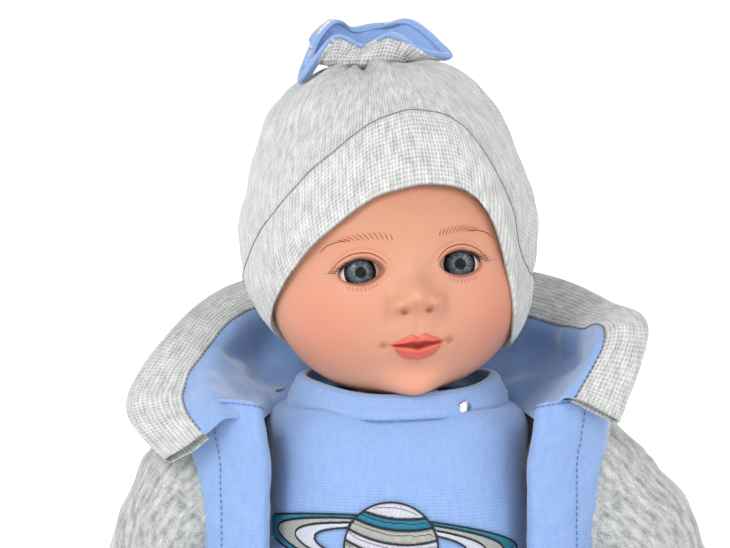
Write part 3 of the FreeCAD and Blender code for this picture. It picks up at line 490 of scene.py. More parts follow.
finish = {
    "vinyl_skin": make_skin(),
    "iris_glass": make_iris(),
    "eye_white": make_eye_white(),
    "grey_knit": cloth("grey_knit", GREY_PALE, GREY_DEEP, (1.55, 1.75), (0.55, 0.42), 0.75,
                       0.30, 0.4, 0.9),
    "grey_fleece": cloth("grey_fleece", srgb(198, 200, 197), srgb(122, 125, 124), (0.9, 1.3),
                         (0.16, 0.06), 1.0, 0.16, 0.5, 1.5),
    "blue_velour": cloth("blue_velour", BLUE_PALE, BLUE_DEEP, (1.3, 1.0), (0.06, 0.34), 0.5,
                         0.14, 0.6, 0.35),
    "trouser_cloth": cloth("trouser_cloth", BLUE_PALE, BLUE_DEEP, (1.3, 1.0), (0.30, 0.08), 0.5,
                           0.14, 0.6, 0.5),
}
for finish_name, pale_shade, deep_shade, *amounts in PLAIN_FINISHES:
    finish[finish_name] = plain(finish_name, srgb(*pale_shade), srgb(*deep_shade), *amounts)


def dress(piece, body, slot, *nodes):
    """Put a finished piece on its CAD body and hide the nodes it stands for; slot is not used."""
    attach(piece, body)
    if nodes:
        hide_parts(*nodes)
    return piece


def cloth_piece(name, points, slot, weave, thickness, body, *nodes, offset=-1.0, closed=False,
                flip=False):
    """A sheet of finished cloth on its body; weave is its size in mm along rows and columns."""
    piece = grid(name, points, finish[slot], weave, closed, flip)
    thicken(piece, thickness, offset)
    return dress(piece, body, slot, *nodes)


def dress_between(piece, limb, slot, start, end, *nodes):
    """Hide the nodes a piece stands for and bake its place into its mesh; limb and slot are not used, and start
    and end change nothing.
    """
    if nodes:
        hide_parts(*nodes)
    doll(start)
    doll(end)
    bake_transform(piece)


# ---- head ---------------------------------------------------------------------------------------

HEAD_MIDDLE = np.array([0.0, 0.0, -10.0])
SKULL = ((0, 4, 4), (60.2, 61.5, 60.5))
CHEEKS = ((0, -9, -22), (54.8, 46.5, 45.0))
MOUTH_Z, MOUTH_HALF_WIDTH, LOWER_LIP_HALF_WIDTH = -44.0, 12.3, 10.6
EYE_HALF_WIDTH, EYE_UPPER, EYE_LOWER, EYE_TILT, EYE_POWER = 9.8, 6.5, 5.5, 4.0, 1.72


def reach_of(directions, ellipsoid, origin=HEAD_MIDDLE):
    """Distance from a point in the head to the far side of an ellipsoid round it."""
    middle, radii = (np.array(values, float) for values in ellipsoid)
    start = (origin - middle)/radii
    way = directions/radii
    a = (way**2).sum(-1)
    b = (way*start).sum(-1)
    c = (start**2).sum() - 1
    return (-b + np.sqrt(np.maximum(b*b - a*c, 0)))/a


def uneven(low, high, count, dense_low, dense_high, weight):
    """Values from low to high, packed more closely between two of them."""
    fine = np.linspace(low, high, 4000)
    edge = (high - low)*0.03
    density = 1 + weight*smooth(fine, dense_low - edge, dense_low)*(
        1 - smooth(fine, dense_high, dense_high + edge))
    total = np.concatenate([[0], np.cumsum((density[1:] + density[:-1])/2)])
    return np.interp(np.linspace(0, total[-1], count), total, fine)


def eye_distance(x, z, side):
    """Signed distance in mm, roughly, from the edge of an eye opening: negative inside."""
    tilt = math.radians(EYE_TILT)*side
    from_x, from_z = x - side*EYE_SPACING/2, z - EYE_Z
    across = from_x*math.cos(tilt) - from_z*math.sin(tilt)
    height = from_x*math.sin(tilt) + from_z*math.cos(tilt)
    tall = np.where(height > 0, EYE_UPPER, EYE_LOWER)
    out = ((np.abs(across)/EYE_HALF_WIDTH)**EYE_POWER
           + (np.abs(height)/tall)**EYE_POWER)**(1/EYE_POWER)
    return np.hypot(across, height)*(1 - 1/np.maximum(out, 0.05))


def lip_curves(x):
    """Heights of the mouth line, the top edge and the bottom edge of the lips."""
    share = np.clip(np.abs(x)/MOUTH_HALF_WIDTH, 0, 1)
    line = MOUTH_Z + 0.9*share**2 - 0.6*np.exp(-(x/2.4)**2)
    bow = 5.2*(1 - share**1.35) + 0.6*np.exp(-((np.abs(x) - 3.1)/2.0)**2) \
        - 1.2*np.exp(-(x/1.6)**2)
    share_below = np.clip(np.abs(x)/LOWER_LIP_HALF_WIDTH, 0, 1)
    belly = 5.9*np.power(np.maximum(1 - share_below**4.0, 0), 0.85)
    return line, line + np.maximum(bow, 0), line - belly


def face_relief(x, z):
    """How far the face stands out, in mm, at a place seen from the front."""
    pairs = {
        "eye hollow": ((21.5, -9.5), (12.5, 9.5), -2.9),
        "brow": ((22, 7), (14, 5), 0.7),
        "cheek": ((31, -31), (15, 15), 3.0),
        "wing of the nose": ((8.6, -26.2), (3.7, 3.7), 4.6),
        "beside the upper lip": ((9.5, -37), (3.5, 6), -0.5),
        "corner of the mouth": ((14.4, -43.3), (1.7, 1.5), -1.7),
        "fold to the cheek": ((13.2, -33.0), (3.0, 4.0), -0.9),
    }
    out = sum(height*(bell(x, z, at, spread) + bell(x, z, (-at[0], at[1]), spread))
              for at, spread, height in pairs.values())
    out += 1.0*bell(x, z, (0, -8), (5, 9)) + 2.4*bell(x, z, (0, -41), (14, 10))
    rise = np.where(z > -23.4, 9.0, 5.2)
    out += 10.8*np.exp(-(x/6.3)**2 - ((z + 23.4)/rise)**2)
    out -= 2.8*(bell(x, z, (5.4, -29.0), (1.7, 1.2)) + bell(x, z, (-5.4, -29.0), (1.7, 1.2)))
    out -= 0.8*bell(x, z, (0, -35.6), (1.7, 2.8))
    out -= 1.8*bell(x, z, (0, -54.2), (8.5, 2.4))
    out += 5.4*bell(x, z, (0, -61.5), (14, 7.5))
    out += 1.2*bell(x, z, (0, 22), (30, 16))
    line, top, low = lip_curves(x)
    inside = smooth(np.abs(x), MOUTH_HALF_WIDTH + 0.6, MOUTH_HALF_WIDTH - 2.0)
    upper = np.clip((z - line)/np.maximum(top - line, 0.3), -1, 2)
    lower = np.clip((line - z)/np.maximum(line - low, 0.3), -1, 2)
    full = np.sqrt(np.maximum(1 - (np.abs(x)/MOUTH_HALF_WIDTH)**2, 0))
    out += inside*full*2.3*np.where((upper > 0) & (upper < 1.25),
                                    np.sin(np.clip(0.22 + upper*0.70, 0, 1)*math.pi), 0)
    out += inside*full*2.9*np.where((lower > 0) & (lower < 1.25),
                                    np.sin(np.clip(0.20 + lower*0.72, 0, 1)*math.pi), 0)
    gap = 0.9*np.exp(-(x/5.5)**2)
    out -= inside*2.2*np.exp(-((z - line - gap*0.2)/(0.45 + gap))**2)
    return out


def face_colours(x, y, z):
    """Painted colour of the head, with painted shade under the hat, in the nostrils, mouth corners, beside the
    nose and round the eyes, painted highlights on the nose tip and chin, and how glossy the paint is as its fourth
    value.
    """
    front = smooth(-y, 5, 40)
    colour = np.zeros(x.shape + (4,))
    colour[...] = srgb(201, 148, 122)
    colour[..., 3] = 0

    def tint(mask, *shade):
        target = np.array(srgb(*shade)[:3])
        colour[..., :3] += (target - colour[..., :3])*mask[..., None]

    # painted shade: the face grows darker towards the top, under the hat's brim
    tint(0.60*smooth(z, -8, 24)*front, 184, 124, 95)
    for side in (-1, 1):
        tint(0.45*bell(x, z, (side*39, -32), (20, 18))*front, 210, 122, 104)
        tint(0.35*bell(x, z, (side*24, -1), (17, 8))*front, 206, 138, 108)
        # painted shade in the nostrils, in the corners of the mouth and in the folds beside the nose's wings
        tint(0.55*bell(x, z, (side*5.4, -29.2), (2.2, 1.5))*front, 150, 74, 56)
        tint(0.50*bell(x, z, (side*14.3, -43.4), (1.9, 1.3))*front, 158, 84, 60)
        tint(0.55*bell(x, z, (side*12.9, -25), (1.9, 5.0))*front, 192, 122, 94)
    # painted highlights: lighter patches on the chin and on the tip of the nose
    tint(0.40*bell(x, z, (0, -60), (14, 8))*front, 232, 158, 134)
    tint(0.35*bell(x, z, (0, -26), (7, 7))*front, 226, 160, 134)
    line, top, low = lip_curves(x)
    width = smooth(np.abs(x), MOUTH_HALF_WIDTH + 0.9, MOUTH_HALF_WIDTH - 0.3)
    lips = width*smooth(z, low - 0.55, low + 0.25)*smooth(-z, -top - 0.55, -top + 0.25)*front
    tint(0.92*lips, 208, 94, 76)
    open_height = 0.35 + 1.7*np.exp(-(x/4.6)**2)
    inner = lips*np.exp(-((z - line - 0.5)/open_height)**4)*smooth(np.abs(x), 11.5, 9.0)
    tint(0.80*inner, 150, 48, 38)
    colour[..., 3] = lips
    # painted shade round the edge of each eye opening
    for side in (-1, 1):
        near = eye_distance(x, z, side)
        tint(0.50*np.exp(-(near/0.9)**2)*front, 150, 84, 64)
    return colour


def head_surface(directions):
    """Points of the head's outside, in its own axes, for directions from its middle."""
    reach = (reach_of(directions, SKULL)**16 + reach_of(directions, CHEEKS)**16)**(1/16)
    points = HEAD_MIDDLE + directions*reach[..., None]
    x, y, z = (points[..., axis].copy() for axis in range(3))
    front = smooth(-y, 8, 34)
    points[..., 1] -= face_relief(x, z)*front
    chin = bell(x, points[..., 1], (0, -41), (15, 13))*smooth(-z, 51, 60)
    points[..., 2] -= 5.0*chin
    for side in (-1, 1):
        ear = bell(y, z, (9, -14), (9, 14))*smooth(side*x, 30, 50)
        hollow = bell(y, z, (6, -12), (4, 7))*smooth(side*x, 30, 50)
        points[..., 0] += side*(6.5*ear - 4.0*hollow)
        near = eye_distance(x, z, side)
        above = smooth(z, EYE_Z - 1, EYE_Z + 3)
        points[..., 1] -= front*(0.5*np.exp(-((near - 0.9)/1.0)**2)
                                 - 0.45*above*np.exp(-((near - 3.4)/0.7)**2))
        inside = smooth(-near, -0.1, 1.3)*front
        from_x, from_z = points[..., 0] - side*EYE_SPACING/2, points[..., 2] - EYE_Z
        ball = np.sqrt(np.maximum((EYE_RADIUS - 0.8)**2 - from_x**2 - from_z**2, 0))
        points[..., 1] += (EYE_Y - ball - points[..., 1])*inside
    return points, (x, y, z)


def build_face():
    azimuth = np.radians(uneven(-180, 180, 400, -38, 38, 4.5))[:-1]
    height = np.radians(uneven(-88, 88, 300, -52, 16, 2.6))
    level, turn = np.meshgrid(height, azimuth, indexing="ij")
    directions = np.stack([np.sin(turn)*np.cos(level), -np.cos(turn)*np.cos(level),
                           np.sin(level)], -1)
    points, (x, y, z) = head_surface(directions)
    neck_room = smooth(np.hypot(points[..., 0], points[..., 1] - 5), 26, 19)*smooth(
        -points[..., 2], 30, 45)
    points[..., 2] += 12*neck_room
    face = grid("head_vinyl", head(points), finish["vinyl_skin"], (360, 180), closed=True)
    paint(face, face_colours(x, y, z))
    tips = [head(points[row].mean(0)) for row in (0, -1)]
    close_poles(face, tips, points.shape[1], points.shape[0])
    return dress(face, "head", "vinyl_skin", "head_shell")


def close_poles(piece, tips, columns, rows):
    """Close the first and last ring of a closed grid with a fan of triangles."""
    mesh = piece.data
    count = len(mesh.vertices)
    mesh.vertices.add(len(tips))
    for index, tip in enumerate(tips):
        mesh.vertices[count + index].co = tip
    start = [0, (rows - 1)*columns][:len(tips)]
    faces = []
    for pole, first in enumerate(start):
        for column in range(columns):
            ring = [first + column, first + (column + 1) % columns]
            if pole == 0:
                ring.reverse()
            faces.append(ring + [count + pole])
    loops = len(mesh.loops)
    polygons = len(mesh.polygons)
    mesh.loops.add(3*len(faces))
    mesh.polygons.add(len(faces))
    for index, face in enumerate(faces):
        mesh.polygons[polygons + index].loop_start = loops + 3*index
        for corner, vertex in enumerate(face):
            mesh.loops[loops + 3*index + corner].vertex_index = vertex
    mesh.update(calc_edges=True)
    mesh.shade_smooth()


def face_caster(face):
    """A function that gives the point of the face in front of a place (x, z) in head axes."""
    vertices = np.array([vertex.co[:] for vertex in face.data.vertices])
    local = (vertices/MM - HEAD_ORIGIN) @ HEAD_TURN
    polygons = [tuple(polygon.vertices) for polygon in face.data.polygons]
    tree = BVHTree.FromPolygons([Vector(point) for point in local], polygons)

    def cast(x, z, lift=0.0):
        hit = tree.ray_cast(Vector((x, -120, z)), Vector((0, 1, 0)))
        point, normal = np.array(hit[0]), np.array(hit[1])
        if normal[1] > 0:
            normal = -normal
        return point + normal*lift

    return cast


def taper_radii(count, thick, thin=0.25):
    return thick*(thin + (1 - thin)*np.sin(np.linspace(0.12, math.pi*0.97, count))**0.7)


def build_painted_lines(cast):
    """Brows, lid creases and lower lashes, painted on the vinyl in fine strokes."""
    lines, radii = [], []

    def stroke(places, thick):
        curve = resample(np.array(places, float), 18)
        lines.append(head([cast(x, z, 0.04) for x, z in curve]))
        radii.append(taper_radii(len(curve), thick))

    for side, inner_end in ((-1, 8.0), (1, 12.5)):
        stroke([(side*38.0, -1.0), (side*35.0, 1.6), (side*31.0, 2.9), (side*25.5, 3.2)], 0.22)
        for index in range(11):
            share = index/10
            root = side*(inner_end + (27.5 - inner_end)*share)
            base = 0.9 + 2.0*math.sin(math.pi*(0.14 + 0.55*share))
            lean = math.radians(74 - 50*share)
            long = 1.2 + 3.0*math.sin(math.pi*min(0.2 + 0.5*share, 0.7))
            bow = 0.05*long
            stroke([(root, base),
                    (root + side*(long*0.5*math.cos(lean) - bow*math.sin(lean)*0.6),
                     base + long*0.5*math.sin(lean) + bow*math.cos(lean)*0.6),
                    (root + side*long*math.cos(lean), base + long*math.sin(lean))], 0.16)
        middle_x, tilt = side*EYE_SPACING/2, math.radians(EYE_TILT)*side
        crease = [(13.0, 0.8), (9.6, 4.6), (5.2, 7.4), (0.2, 8.4), (-4.8, 7.6), (-8.6, 5.2),
                  (-10.8, 2.4)]
        stroke([(middle_x + side*x, EYE_Z + z) for x, z in crease], 0.28)
        for index in range(8):
            x = -5.6 + 1.6*index
            share = (abs(x)/EYE_HALF_WIDTH)**EYE_POWER
            low = EYE_Z - EYE_LOWER*(1 - share)**(1/EYE_POWER) - 1.1 - x*math.sin(abs(tilt))
            stroke([(middle_x + side*x, low), (middle_x + side*x*1.06, low - 0.9),
                    (middle_x + side*x*1.14, low - 1.7)], 0.11)
    strokes = tubes("painted_brows_and_creases", lines, radii, finish["brow_paint"], 5)
    return dress(strokes, "head", "vinyl_skin")


def build_mouth_inside():
    """A dark red lining behind the slightly open lips."""
    u, v = np.meshgrid(np.linspace(-1, 1, 24), np.linspace(-1, 1, 8), indexing="xy")
    x, z = u*7.5, MOUTH_Z + v*2.2 - 0.4
    y = -51.5 + 3.0*u**2 + 1.5*v**2
    lining = grid("mouth_inside", head(np.stack([x, y, z], -1)), finish["vinyl_skin"], (15, 5))
    paint_evenly(lining, srgb(96, 22, 20), 1.0)
    thicken(lining, 0.6)
    return dress(lining, "head", "vinyl_skin")


# ---- eyes ---------------------------------------------------------------------------------------

def ball_points(centre, radius, levels, turns):
    """A grid on a sphere in head axes: its poles lie left and right, and turn 0 is its front."""
    level, turn = np.broadcast_arrays(levels, turns)
    shape = np.stack([np.sin(level), -np.cos(level)*np.cos(turn), np.cos(level)*np.sin(turn)],
                     -1)
    return centre + shape*radius


def build_eye(side, label):
    body = f"eye_{label}"
    centre = np.array([side*EYE_SPACING/2, EYE_Y, EYE_Z])
    rows, columns = 48, 96
    ball = ball_points(centre, EYE_RADIUS, np.radians(np.linspace(-89, 89, rows))[:, None],
                       around(columns))
    globe = grid(f"eye_globe_{label}", head(ball), finish["eye_white"], (70, 36), closed=True)
    close_poles(globe, [head(centre + [sign*EYE_RADIUS, 0, 0]) for sign in (-1, 1)], columns,
                rows)
    axle = tubes(f"eye_axle_{label}", [[head(centre + [end*(EYE_RADIUS + 1.8), 0, 0])
                                        for end in np.linspace(-1, 1, 6)]], [1.5],
                 finish["white_plastic"], 16)
    dress(axle, body, "eye_white")
    dress(globe, body, "eye_white", f"eyeball_{label}")

    share, turn = np.meshgrid(np.linspace(0.012, 1, 40), around(96), indexing="ij")
    radius = share*IRIS_RADIUS
    x, z = radius*np.cos(turn), radius*np.sin(turn)
    dome = 0.75*(1 - share**2)**0.8
    y = -np.sqrt(EYE_RADIUS**2 - radius**2) - dome - 0.02
    iris = grid(f"iris_disc_{label}", head(centre + np.stack([x, y, z], -1)),
                finish["iris_glass"], (40, 6), closed=True)
    place = np.stack([np.cos(turn), np.sin(turn), radius], -1).reshape(-1, 3)
    layer = iris.data.attributes.new("iris", "FLOAT_VECTOR", "POINT")
    layer.data.foreach_set("vector", place.astype(np.float32).ravel())
    dress(iris, body, "iris_glass", f"iris_{label}")

    build_lid(side, label, centre)
    build_lashes(side, label, centre)


def build_lid(side, label, centre):
    """The painted upper lid: a thin shell over the ball that turns down as the eye closes."""
    level, turn = np.meshgrid(np.radians(np.linspace(-64, 64, 60)),
                              np.radians(np.linspace(31, 118, 50)), indexing="ij")
    droop = math.radians(EYE_TILT)*np.sin(level)*side
    turn = turn - droop*(1 - (turn - turn.min())/np.ptp(turn))
    lid = grid(f"upper_lid_{label}", head(ball_points(centre, EYE_RADIUS + 0.5, level, turn)),
               finish["vinyl_skin"], (20, 16), flip=True)
    paint_evenly(lid, srgb(206, 136, 110), 0.1)
    thicken(lid, 0.4)
    dress(lid, f"eye_{label}", "vinyl_skin", f"eyelid_{label}")


def build_lashes(side, label, centre):
    """A dark lash line along the lid's edge, with hairs that fan out at both corners."""
    source = np.random.default_rng(40 + side)
    hairs, radii = [], []

    def on_ball(x, z, out):
        radius = EYE_RADIUS + out
        return np.array([x, -math.sqrt(max(radius**2 - x*x - z*z, 1.0)), z])

    tilt = math.sin(math.radians(EYE_TILT))

    def edge(x):
        share = min(abs(x)/EYE_HALF_WIDTH, 1)
        return EYE_UPPER*(1 - share**EYE_POWER)**(1/EYE_POWER) - side*x*tilt

    spread_of_lid = np.linspace(-9.3, 9.3, 50)
    line = [head(centre + on_ball(x, edge(x) - 0.75, 1.0)) for x in spread_of_lid]
    hairs.append(line)
    radii.append(taper_radii(50, 0.58, 0.5))
    for index in range(44):
        x = -9.2 + 18.4*(index + source.uniform(-0.3, 0.3))/43
        share = abs(x)/9.2
        if share < 0.5 and index % 4:
            continue
        outer = 1.0 if x*side > 0 else 0.72
        long = (1.4 + 2.4*share**2)*outer*source.uniform(0.8, 1.15)
        spread = x/9.2*(0.7 + share) + source.uniform(-0.15, 0.15)
        root = centre + on_ball(x, edge(x) - 0.7, 1.0)
        steps = np.linspace(0, 1, 7)[:, None]
        forward = np.array([0, -0.75, 0])
        up = np.array([spread, 0, 0.10 + 0.75*(1 - share)])
        hair = root + long*(forward*steps*(1.15 - 0.35*steps) + up*(0.35*steps + 0.65*steps**2))
        hairs.append(head(hair))
        radii.append(np.linspace(0.19 + 0.11*share, 0.05, 7))
    lashes = tubes(f"lash_hairs_{label}", hairs, radii, finish["lash_fibre"], 5)
    dress(lashes, f"eye_{label}", "lash_fibre", f"lashes_{label}")


# ---- hat ----------------------------------------------------------------------------------------

HAT_MIDDLE = np.array([0.0, 4.0, 4.0])
BRIM = [(-180, -47), (-112, -46), (-90, -36), (-62, -17), (-36, 6), (-14, 22), (5, 26),
        (24, 23), (34, 13), (40, -5), (46, -24), (54, -40), (82, -46), (125, -47), (180, -47)]
HAT_PROFILE = [(-60, 63.5), (-30, 65.8), (0, 66.4), (20, 67.2), (34, 70.5), (45, 74.5),
               (55, 77.8), (65, 79.0), (76, 77.8), (90, 76.0)]
HAT_BAND_ANGLE = 25.0


def brim_angle(azimuth):
    """Elevation of the hat's edge, in degrees, seen from the hat's middle."""
    places, heights = zip(*BRIM)
    height = np.interp(azimuth, places, heights)
    spread = np.interp(azimuth + 5, places, heights) + np.interp(azimuth - 5, places, heights)
    return np.degrees(np.arcsin((0.5*height + 0.25*spread - HAT_MIDDLE[2])/66.0))


def hat_points(azimuth, elevation, edge, proud):
    places, radii = zip(*HAT_PROFILE)
    steps = np.linspace(-60, 90, 301)
    table = np.interp(steps, places, radii)
    table = np.convolve(np.pad(table, 12, mode="edge"), np.ones(25)/25, "valid")
    radius = np.interp(elevation, steps, table)
    radius = radius - 2.0*np.exp(-((elevation - edge)/7.0)**2)
    turn, level = np.radians(azimuth), np.radians(elevation)
    shape = np.stack([np.sin(turn)*np.cos(level), -np.cos(turn)*np.cos(level),
                      np.sin(level)], -1)
    head_reach = np.maximum(reach_of(shape, CHEEKS, HAT_MIDDLE), 1.0) + 2.2
    radius = (radius**24 + head_reach**24)**(1/24)
    bulk = HAT_MIDDLE + shape*radius[..., None]
    near_top = smooth(elevation, 42, 80)
    folds = 1.5*near_top*np.sin(11*turn + 1.3*np.sin(2*turn) + 0.02*elevation)
    folds += 1.1*near_top*np.sin(7*turn + 0.8)
    folds += 0.9*waves(bulk*[1, 1, 1.4], 46, 3)*smooth(elevation, edge + 6, edge + 30)
    folds += 2.0*near_top*np.exp(-(((azimuth + 62) - 0.5*(elevation - 50))/6.0)**2)
    folds += 0.35*waves(bulk, 17, 4)
    return HAT_MIDDLE + shape*(radius + folds + proud)[..., None]


def build_hat():
    rows, columns = 150, 420
    azimuth = np.linspace(-180, 180, columns, endpoint=False)
    edge = brim_angle(azimuth)
    share = np.linspace(0, 1, rows)[:, None]
    elevation = (edge + 3)[None] + (88.5 - edge - 3)[None]*share
    turn = np.broadcast_to(azimuth, elevation.shape)
    points = hat_points(turn, elevation, np.broadcast_to(edge, elevation.shape), 0.0)
    pull = smooth(elevation, 62, 88)[..., None]
    points = points + pull*np.array([-5.0, 2.0, 0.0])
    crown = cloth_piece("hat_knit_crown", head(points), "grey_knit", (400, 125), 1.8, "head",
                        "hat_crown", closed=True)

    build_hat_band(azimuth, edge)
    build_hat_top()


def build_hat_band(azimuth, edge):
    """The turned-up band: it rolls round the hat's edge and ends at a stitched seam."""
    outer = np.linspace(0, 1, 46)
    angles = np.concatenate([[5.0, 3.2, 1.6, 0.5], outer*HAT_BAND_ANGLE,
                             [HAT_BAND_ANGLE + 0.25]])
    lift = np.concatenate([[-1.6, -1.5, -1.2, -0.5], 1.25 + 0.75*np.sin(outer*math.pi)**0.5,
                           [0.1]])
    lift[4] = 0.45
    lift[5] = 0.95
    angles[4:7] -= [0.9, 0.5, 0.2]
    turn = np.broadcast_to(azimuth, (len(angles), len(azimuth)))
    elevation = edge[None] + angles[:, None]
    points = hat_points(turn, elevation, np.broadcast_to(edge, elevation.shape), lift[:, None])
    band = cloth_piece("hat_knit_band", head(points), "grey_knit", (400, 34), 0.5, "head",
                       "hat_band", closed=True)
    seam = points[-2] + (points[-2] - HAT_MIDDLE)*0.004
    thread = tubes("hat_band_seam", [head(np.concatenate([seam, seam[:1]]))], [0.2],
                   finish["seam_thread"], 5)
    dress(thread, "head", "grey_knit")
    build_hat_fuzz(points[4], points[4] - HAT_MIDDLE)


def build_hat_fuzz(edge, outward, count=2600, length=1.1):
    """Loose short fibres along the hat's turned edge."""
    source = np.random.default_rng(13)
    hairs = []
    for _ in range(count):
        at = source.integers(0, len(edge))
        start = edge[at] + source.normal(size=3)*0.35
        away = outward[at]/np.linalg.norm(outward[at]) + source.normal(size=3)*0.9
        away[2] -= 0.6
        away *= length*source.uniform(0.4, 1.0)/np.linalg.norm(away)
        curl = source.normal(size=3)*0.25
        hairs.append(head(np.array([start, start + away*0.55 + curl, start + away])))
    fibres = tubes("hat_edge_fuzz", hairs, [[0.05, 0.04, 0.015]]*count,
                   finish["silver_thread"], 3)
    dress(fibres, "head", "grey_knit")


def build_hat_top():
    """The end of the hat above the tie: it splays open and shows its velour hem."""
    knot = from_head(np.array([-5.0, 6.0, 80.0]))
    rim = np.array([(-27, -8, -8), (-24, -1, 5), (-14, 4, 18), (-5, 11, 14), (8, 13, 16),
                    (20, 8, 18), (30, 3, 12), (39, -3, 3), (27, -12, 5), (12, -13, 12),
                    (0, -12, 7), (-13, -13, 11)], float)
    waist = np.array([(-9, -2, 0), (-8, 2, 1), (-5, 5, 2), (-1, 7, 2), (3, 7, 2), (6, 5, 2),
                      (8, 2, 1), (9, -2, 0), (7, -5, 0), (3, -7, -1), (-2, -7, -1),
                      (-6, -5, -1)], float)
    foot = waist*[1.25, 1.25, 0] + [0, 0, -7]
    swell = waist*[2.5, 1.5, 1] + [0, -1, 2.4]
    middle = 0.55*rim + 0.45*swell + [0, 0, 0.4]
    net = np.stack([foot, waist, swell, middle, rim*0.86 + middle*0.14 + [0, 0, 1.2], rim])
    rows, columns = 60, 220
    body = loft(net, rows, columns, closed=True)
    share = np.linspace(0, 1, rows)[:, None]
    turn = around(columns)[None]
    normal = grid_normals(body, closed=True)
    pleats = 0.9*np.sin(17*turn + 2*share)*np.exp(-((share - 0.22)/0.22)**2)
    body = body + normal*(pleats + 0.5*waves(body, 16, 9)*share)[..., None]
    outside = np.sign(np.sum(normal*(body - body.mean(1, keepdims=True)), -1).mean())
    normal = normal*outside
    place = knot + np.array([0.0, -2.0, 2.0])
    outer = cloth_piece("hat_top_knit", doll(place + body + normal*0.9), "grey_knit", (150, 34),
                        1.0, "head", "hat_top_flaps", closed=True)
    inner = body - normal*0.9
    over = np.array([inner[row] + normal[row]*lift for row, lift in
                     ((-1, 0.9), (-1, 2.2), (-2, 3.4), (-4, 3.9), (-7, 3.8), (-10, 3.1),
                      (-11, 2.0))])
    rim_outward = body[-1] - body[-3]
    over[1] += rim_outward*0.35
    over[0] += rim_outward*0.45
    lining_points = np.concatenate([inner[8:], over])
    lining = cloth_piece("hat_top_lining", doll(place + lining_points), "blue_velour", (150, 44),
                         1.1, "head", offset=0.0, closed=True)
    loops = []
    for turn_number in range(3):
        ring = waist*1.1 + [0, 0, -1.4 + 1.5*turn_number]
        ring = resample(ring, 90, closed=True)
        loops.append(doll(place + ring_path(ring)))
    cord = tubes("hat_tie_cord", loops, [1.2]*3, finish["blue_cord"], 8)
    dress(cord, "head", "blue_cord", "hat_tie")


# ---- pullover -----------------------------------------------------------------------------------

def ring_station(half_width, half_depth, middle, height, count, power=2.35, start=-180,
                 stop=180, closed=True):
    """A rounded oblong in plan, as points by azimuth: 0 is the front."""
    azimuth = np.radians(np.linspace(start, stop, count, endpoint=not closed))
    sine, cosine = np.sin(azimuth), np.cos(azimuth)
    reach = (np.abs(sine/half_width)**power + np.abs(cosine/half_depth)**power)**(-1/power)
    return np.stack([reach*sine, middle - reach*cosine, np.full(count, float(height))], -1)


PULLOVER_STATIONS = [(58, 61.5, 49, 8), (72, 61.5, 51, 5), (90, 60.5, 51.5, 3),
                     (112, 59.5, 51, 2.2), (134, 59, 49.5, 3), (150, 58, 48.5, 4),
                     (160, 58.5, 47.6, 4.6), (166, 55.5, 46.8, 5), (169.5, 49, 46.5, 5)]


def pullover_front(x, z, lift=0.0):
    """The point of the pullover's front at a place seen from the front."""
    heights = [station[0] for station in PULLOVER_STATIONS]
    wide, deep, middle = (np.interp(z, heights, [station[index] for station in
                                                 PULLOVER_STATIONS]) for index in (1, 2, 3))
    share = np.clip(np.abs(x)/wide, 0, 0.985)
    y = middle - deep*(1 - share**2.35)**(1/2.35) - lift
    return np.stack(np.broadcast_arrays(x, y, z), -1)


def build_pullover():
    rings = np.array([ring_station(wide, deep, middle, height, 300)
                      for height, wide, deep, middle in PULLOVER_STATIONS])
    points = resample(rings, 120)
    normal = outward_of(points, closed=True)
    folds = 0.5*waves(points*[1, 1, 0.6], 38, 21)
    folds += 0.45*waves(points*[1, 1, 0.35], 22, 22)*smooth(points[..., 2], 148, 162)
    side = smooth(np.abs(points[..., 0]), 30, 52)
    folds += 0.6*side*np.sin(points[..., 2]/5.2 + 0.06*points[..., 0])*smooth(
        points[..., 2], 120, 150)
    patch = bell(points[..., 0], points[..., 2], (-3.5, 113), (52, 24))
    folds *= 1 - 0.9*patch
    cloth_points = points + normal*folds[..., None]
    body = cloth_piece("pullover_velour", doll(cloth_points), "blue_velour", (370, 115), 1.6,
                       "torso", "pullover_body", closed=True)

    profile = [(45.2, 168), (46.6, 167.4), (48.8, 167.6), (49.6, 168.6), (49.5, 170),
               (49.4, 170.8), (48.3, 171.6), (48.0, 172.6), (46.6, 173.8), (46.1, 175.0),
               (44.6, 176.4), (43.0, 177.0), (41.6, 176.6), (41.0, 175), (40.4, 173),
               (38.0, 171.5), (33.5, 170.5)]
    azimuth = around(260)
    band = np.array([[(radius*math.sin(turn), 5 - radius*math.cos(turn),
                       height + (0.6 + 3.8*math.sin(turn)**2)*min((height - 167.4)/8, 1)
                       + 0.35*math.sin(5*turn))
                      for turn in azimuth] for radius, height in profile])
    neckband = cloth_piece("pullover_neckband_ribs", doll(band), "blue_velour", (300, 22), 0.6,
                           "torso", "pullover_neckband", offset=0, closed=True)
    seam_path = doll(np.concatenate([band[2], band[2][:1]]) + [0, 0, -0.5])
    thread = stitches("neckband_seam", seam_path, 2.0, 0.8, 0.17, finish["blue_thread"],
                      np.array([0, -1.0, 0]))
    dress(thread, "torso", "blue_velour")
    build_stud()


def turned(profile, place, direction, name, material, steps=48):
    """A lathe-turned piece: profile is (radius, height) in mm along a direction from a place."""
    direction = np.array(direction, float)/np.linalg.norm(direction)
    side = np.cross(direction, [0, 0, 1.0])
    side /= np.linalg.norm(side)
    up = np.cross(side, direction)
    turn = around(steps)
    points = np.array([[place + direction*height + radius*(side*math.cos(t) + up*math.sin(t))
                        for t in turn] for radius, height in profile])
    piece = grid(name, doll(points), material, (10, 10), closed=True)
    close_poles(piece, [doll(points[row].mean(0)) for row in (0, -1)], steps, len(profile))
    return piece


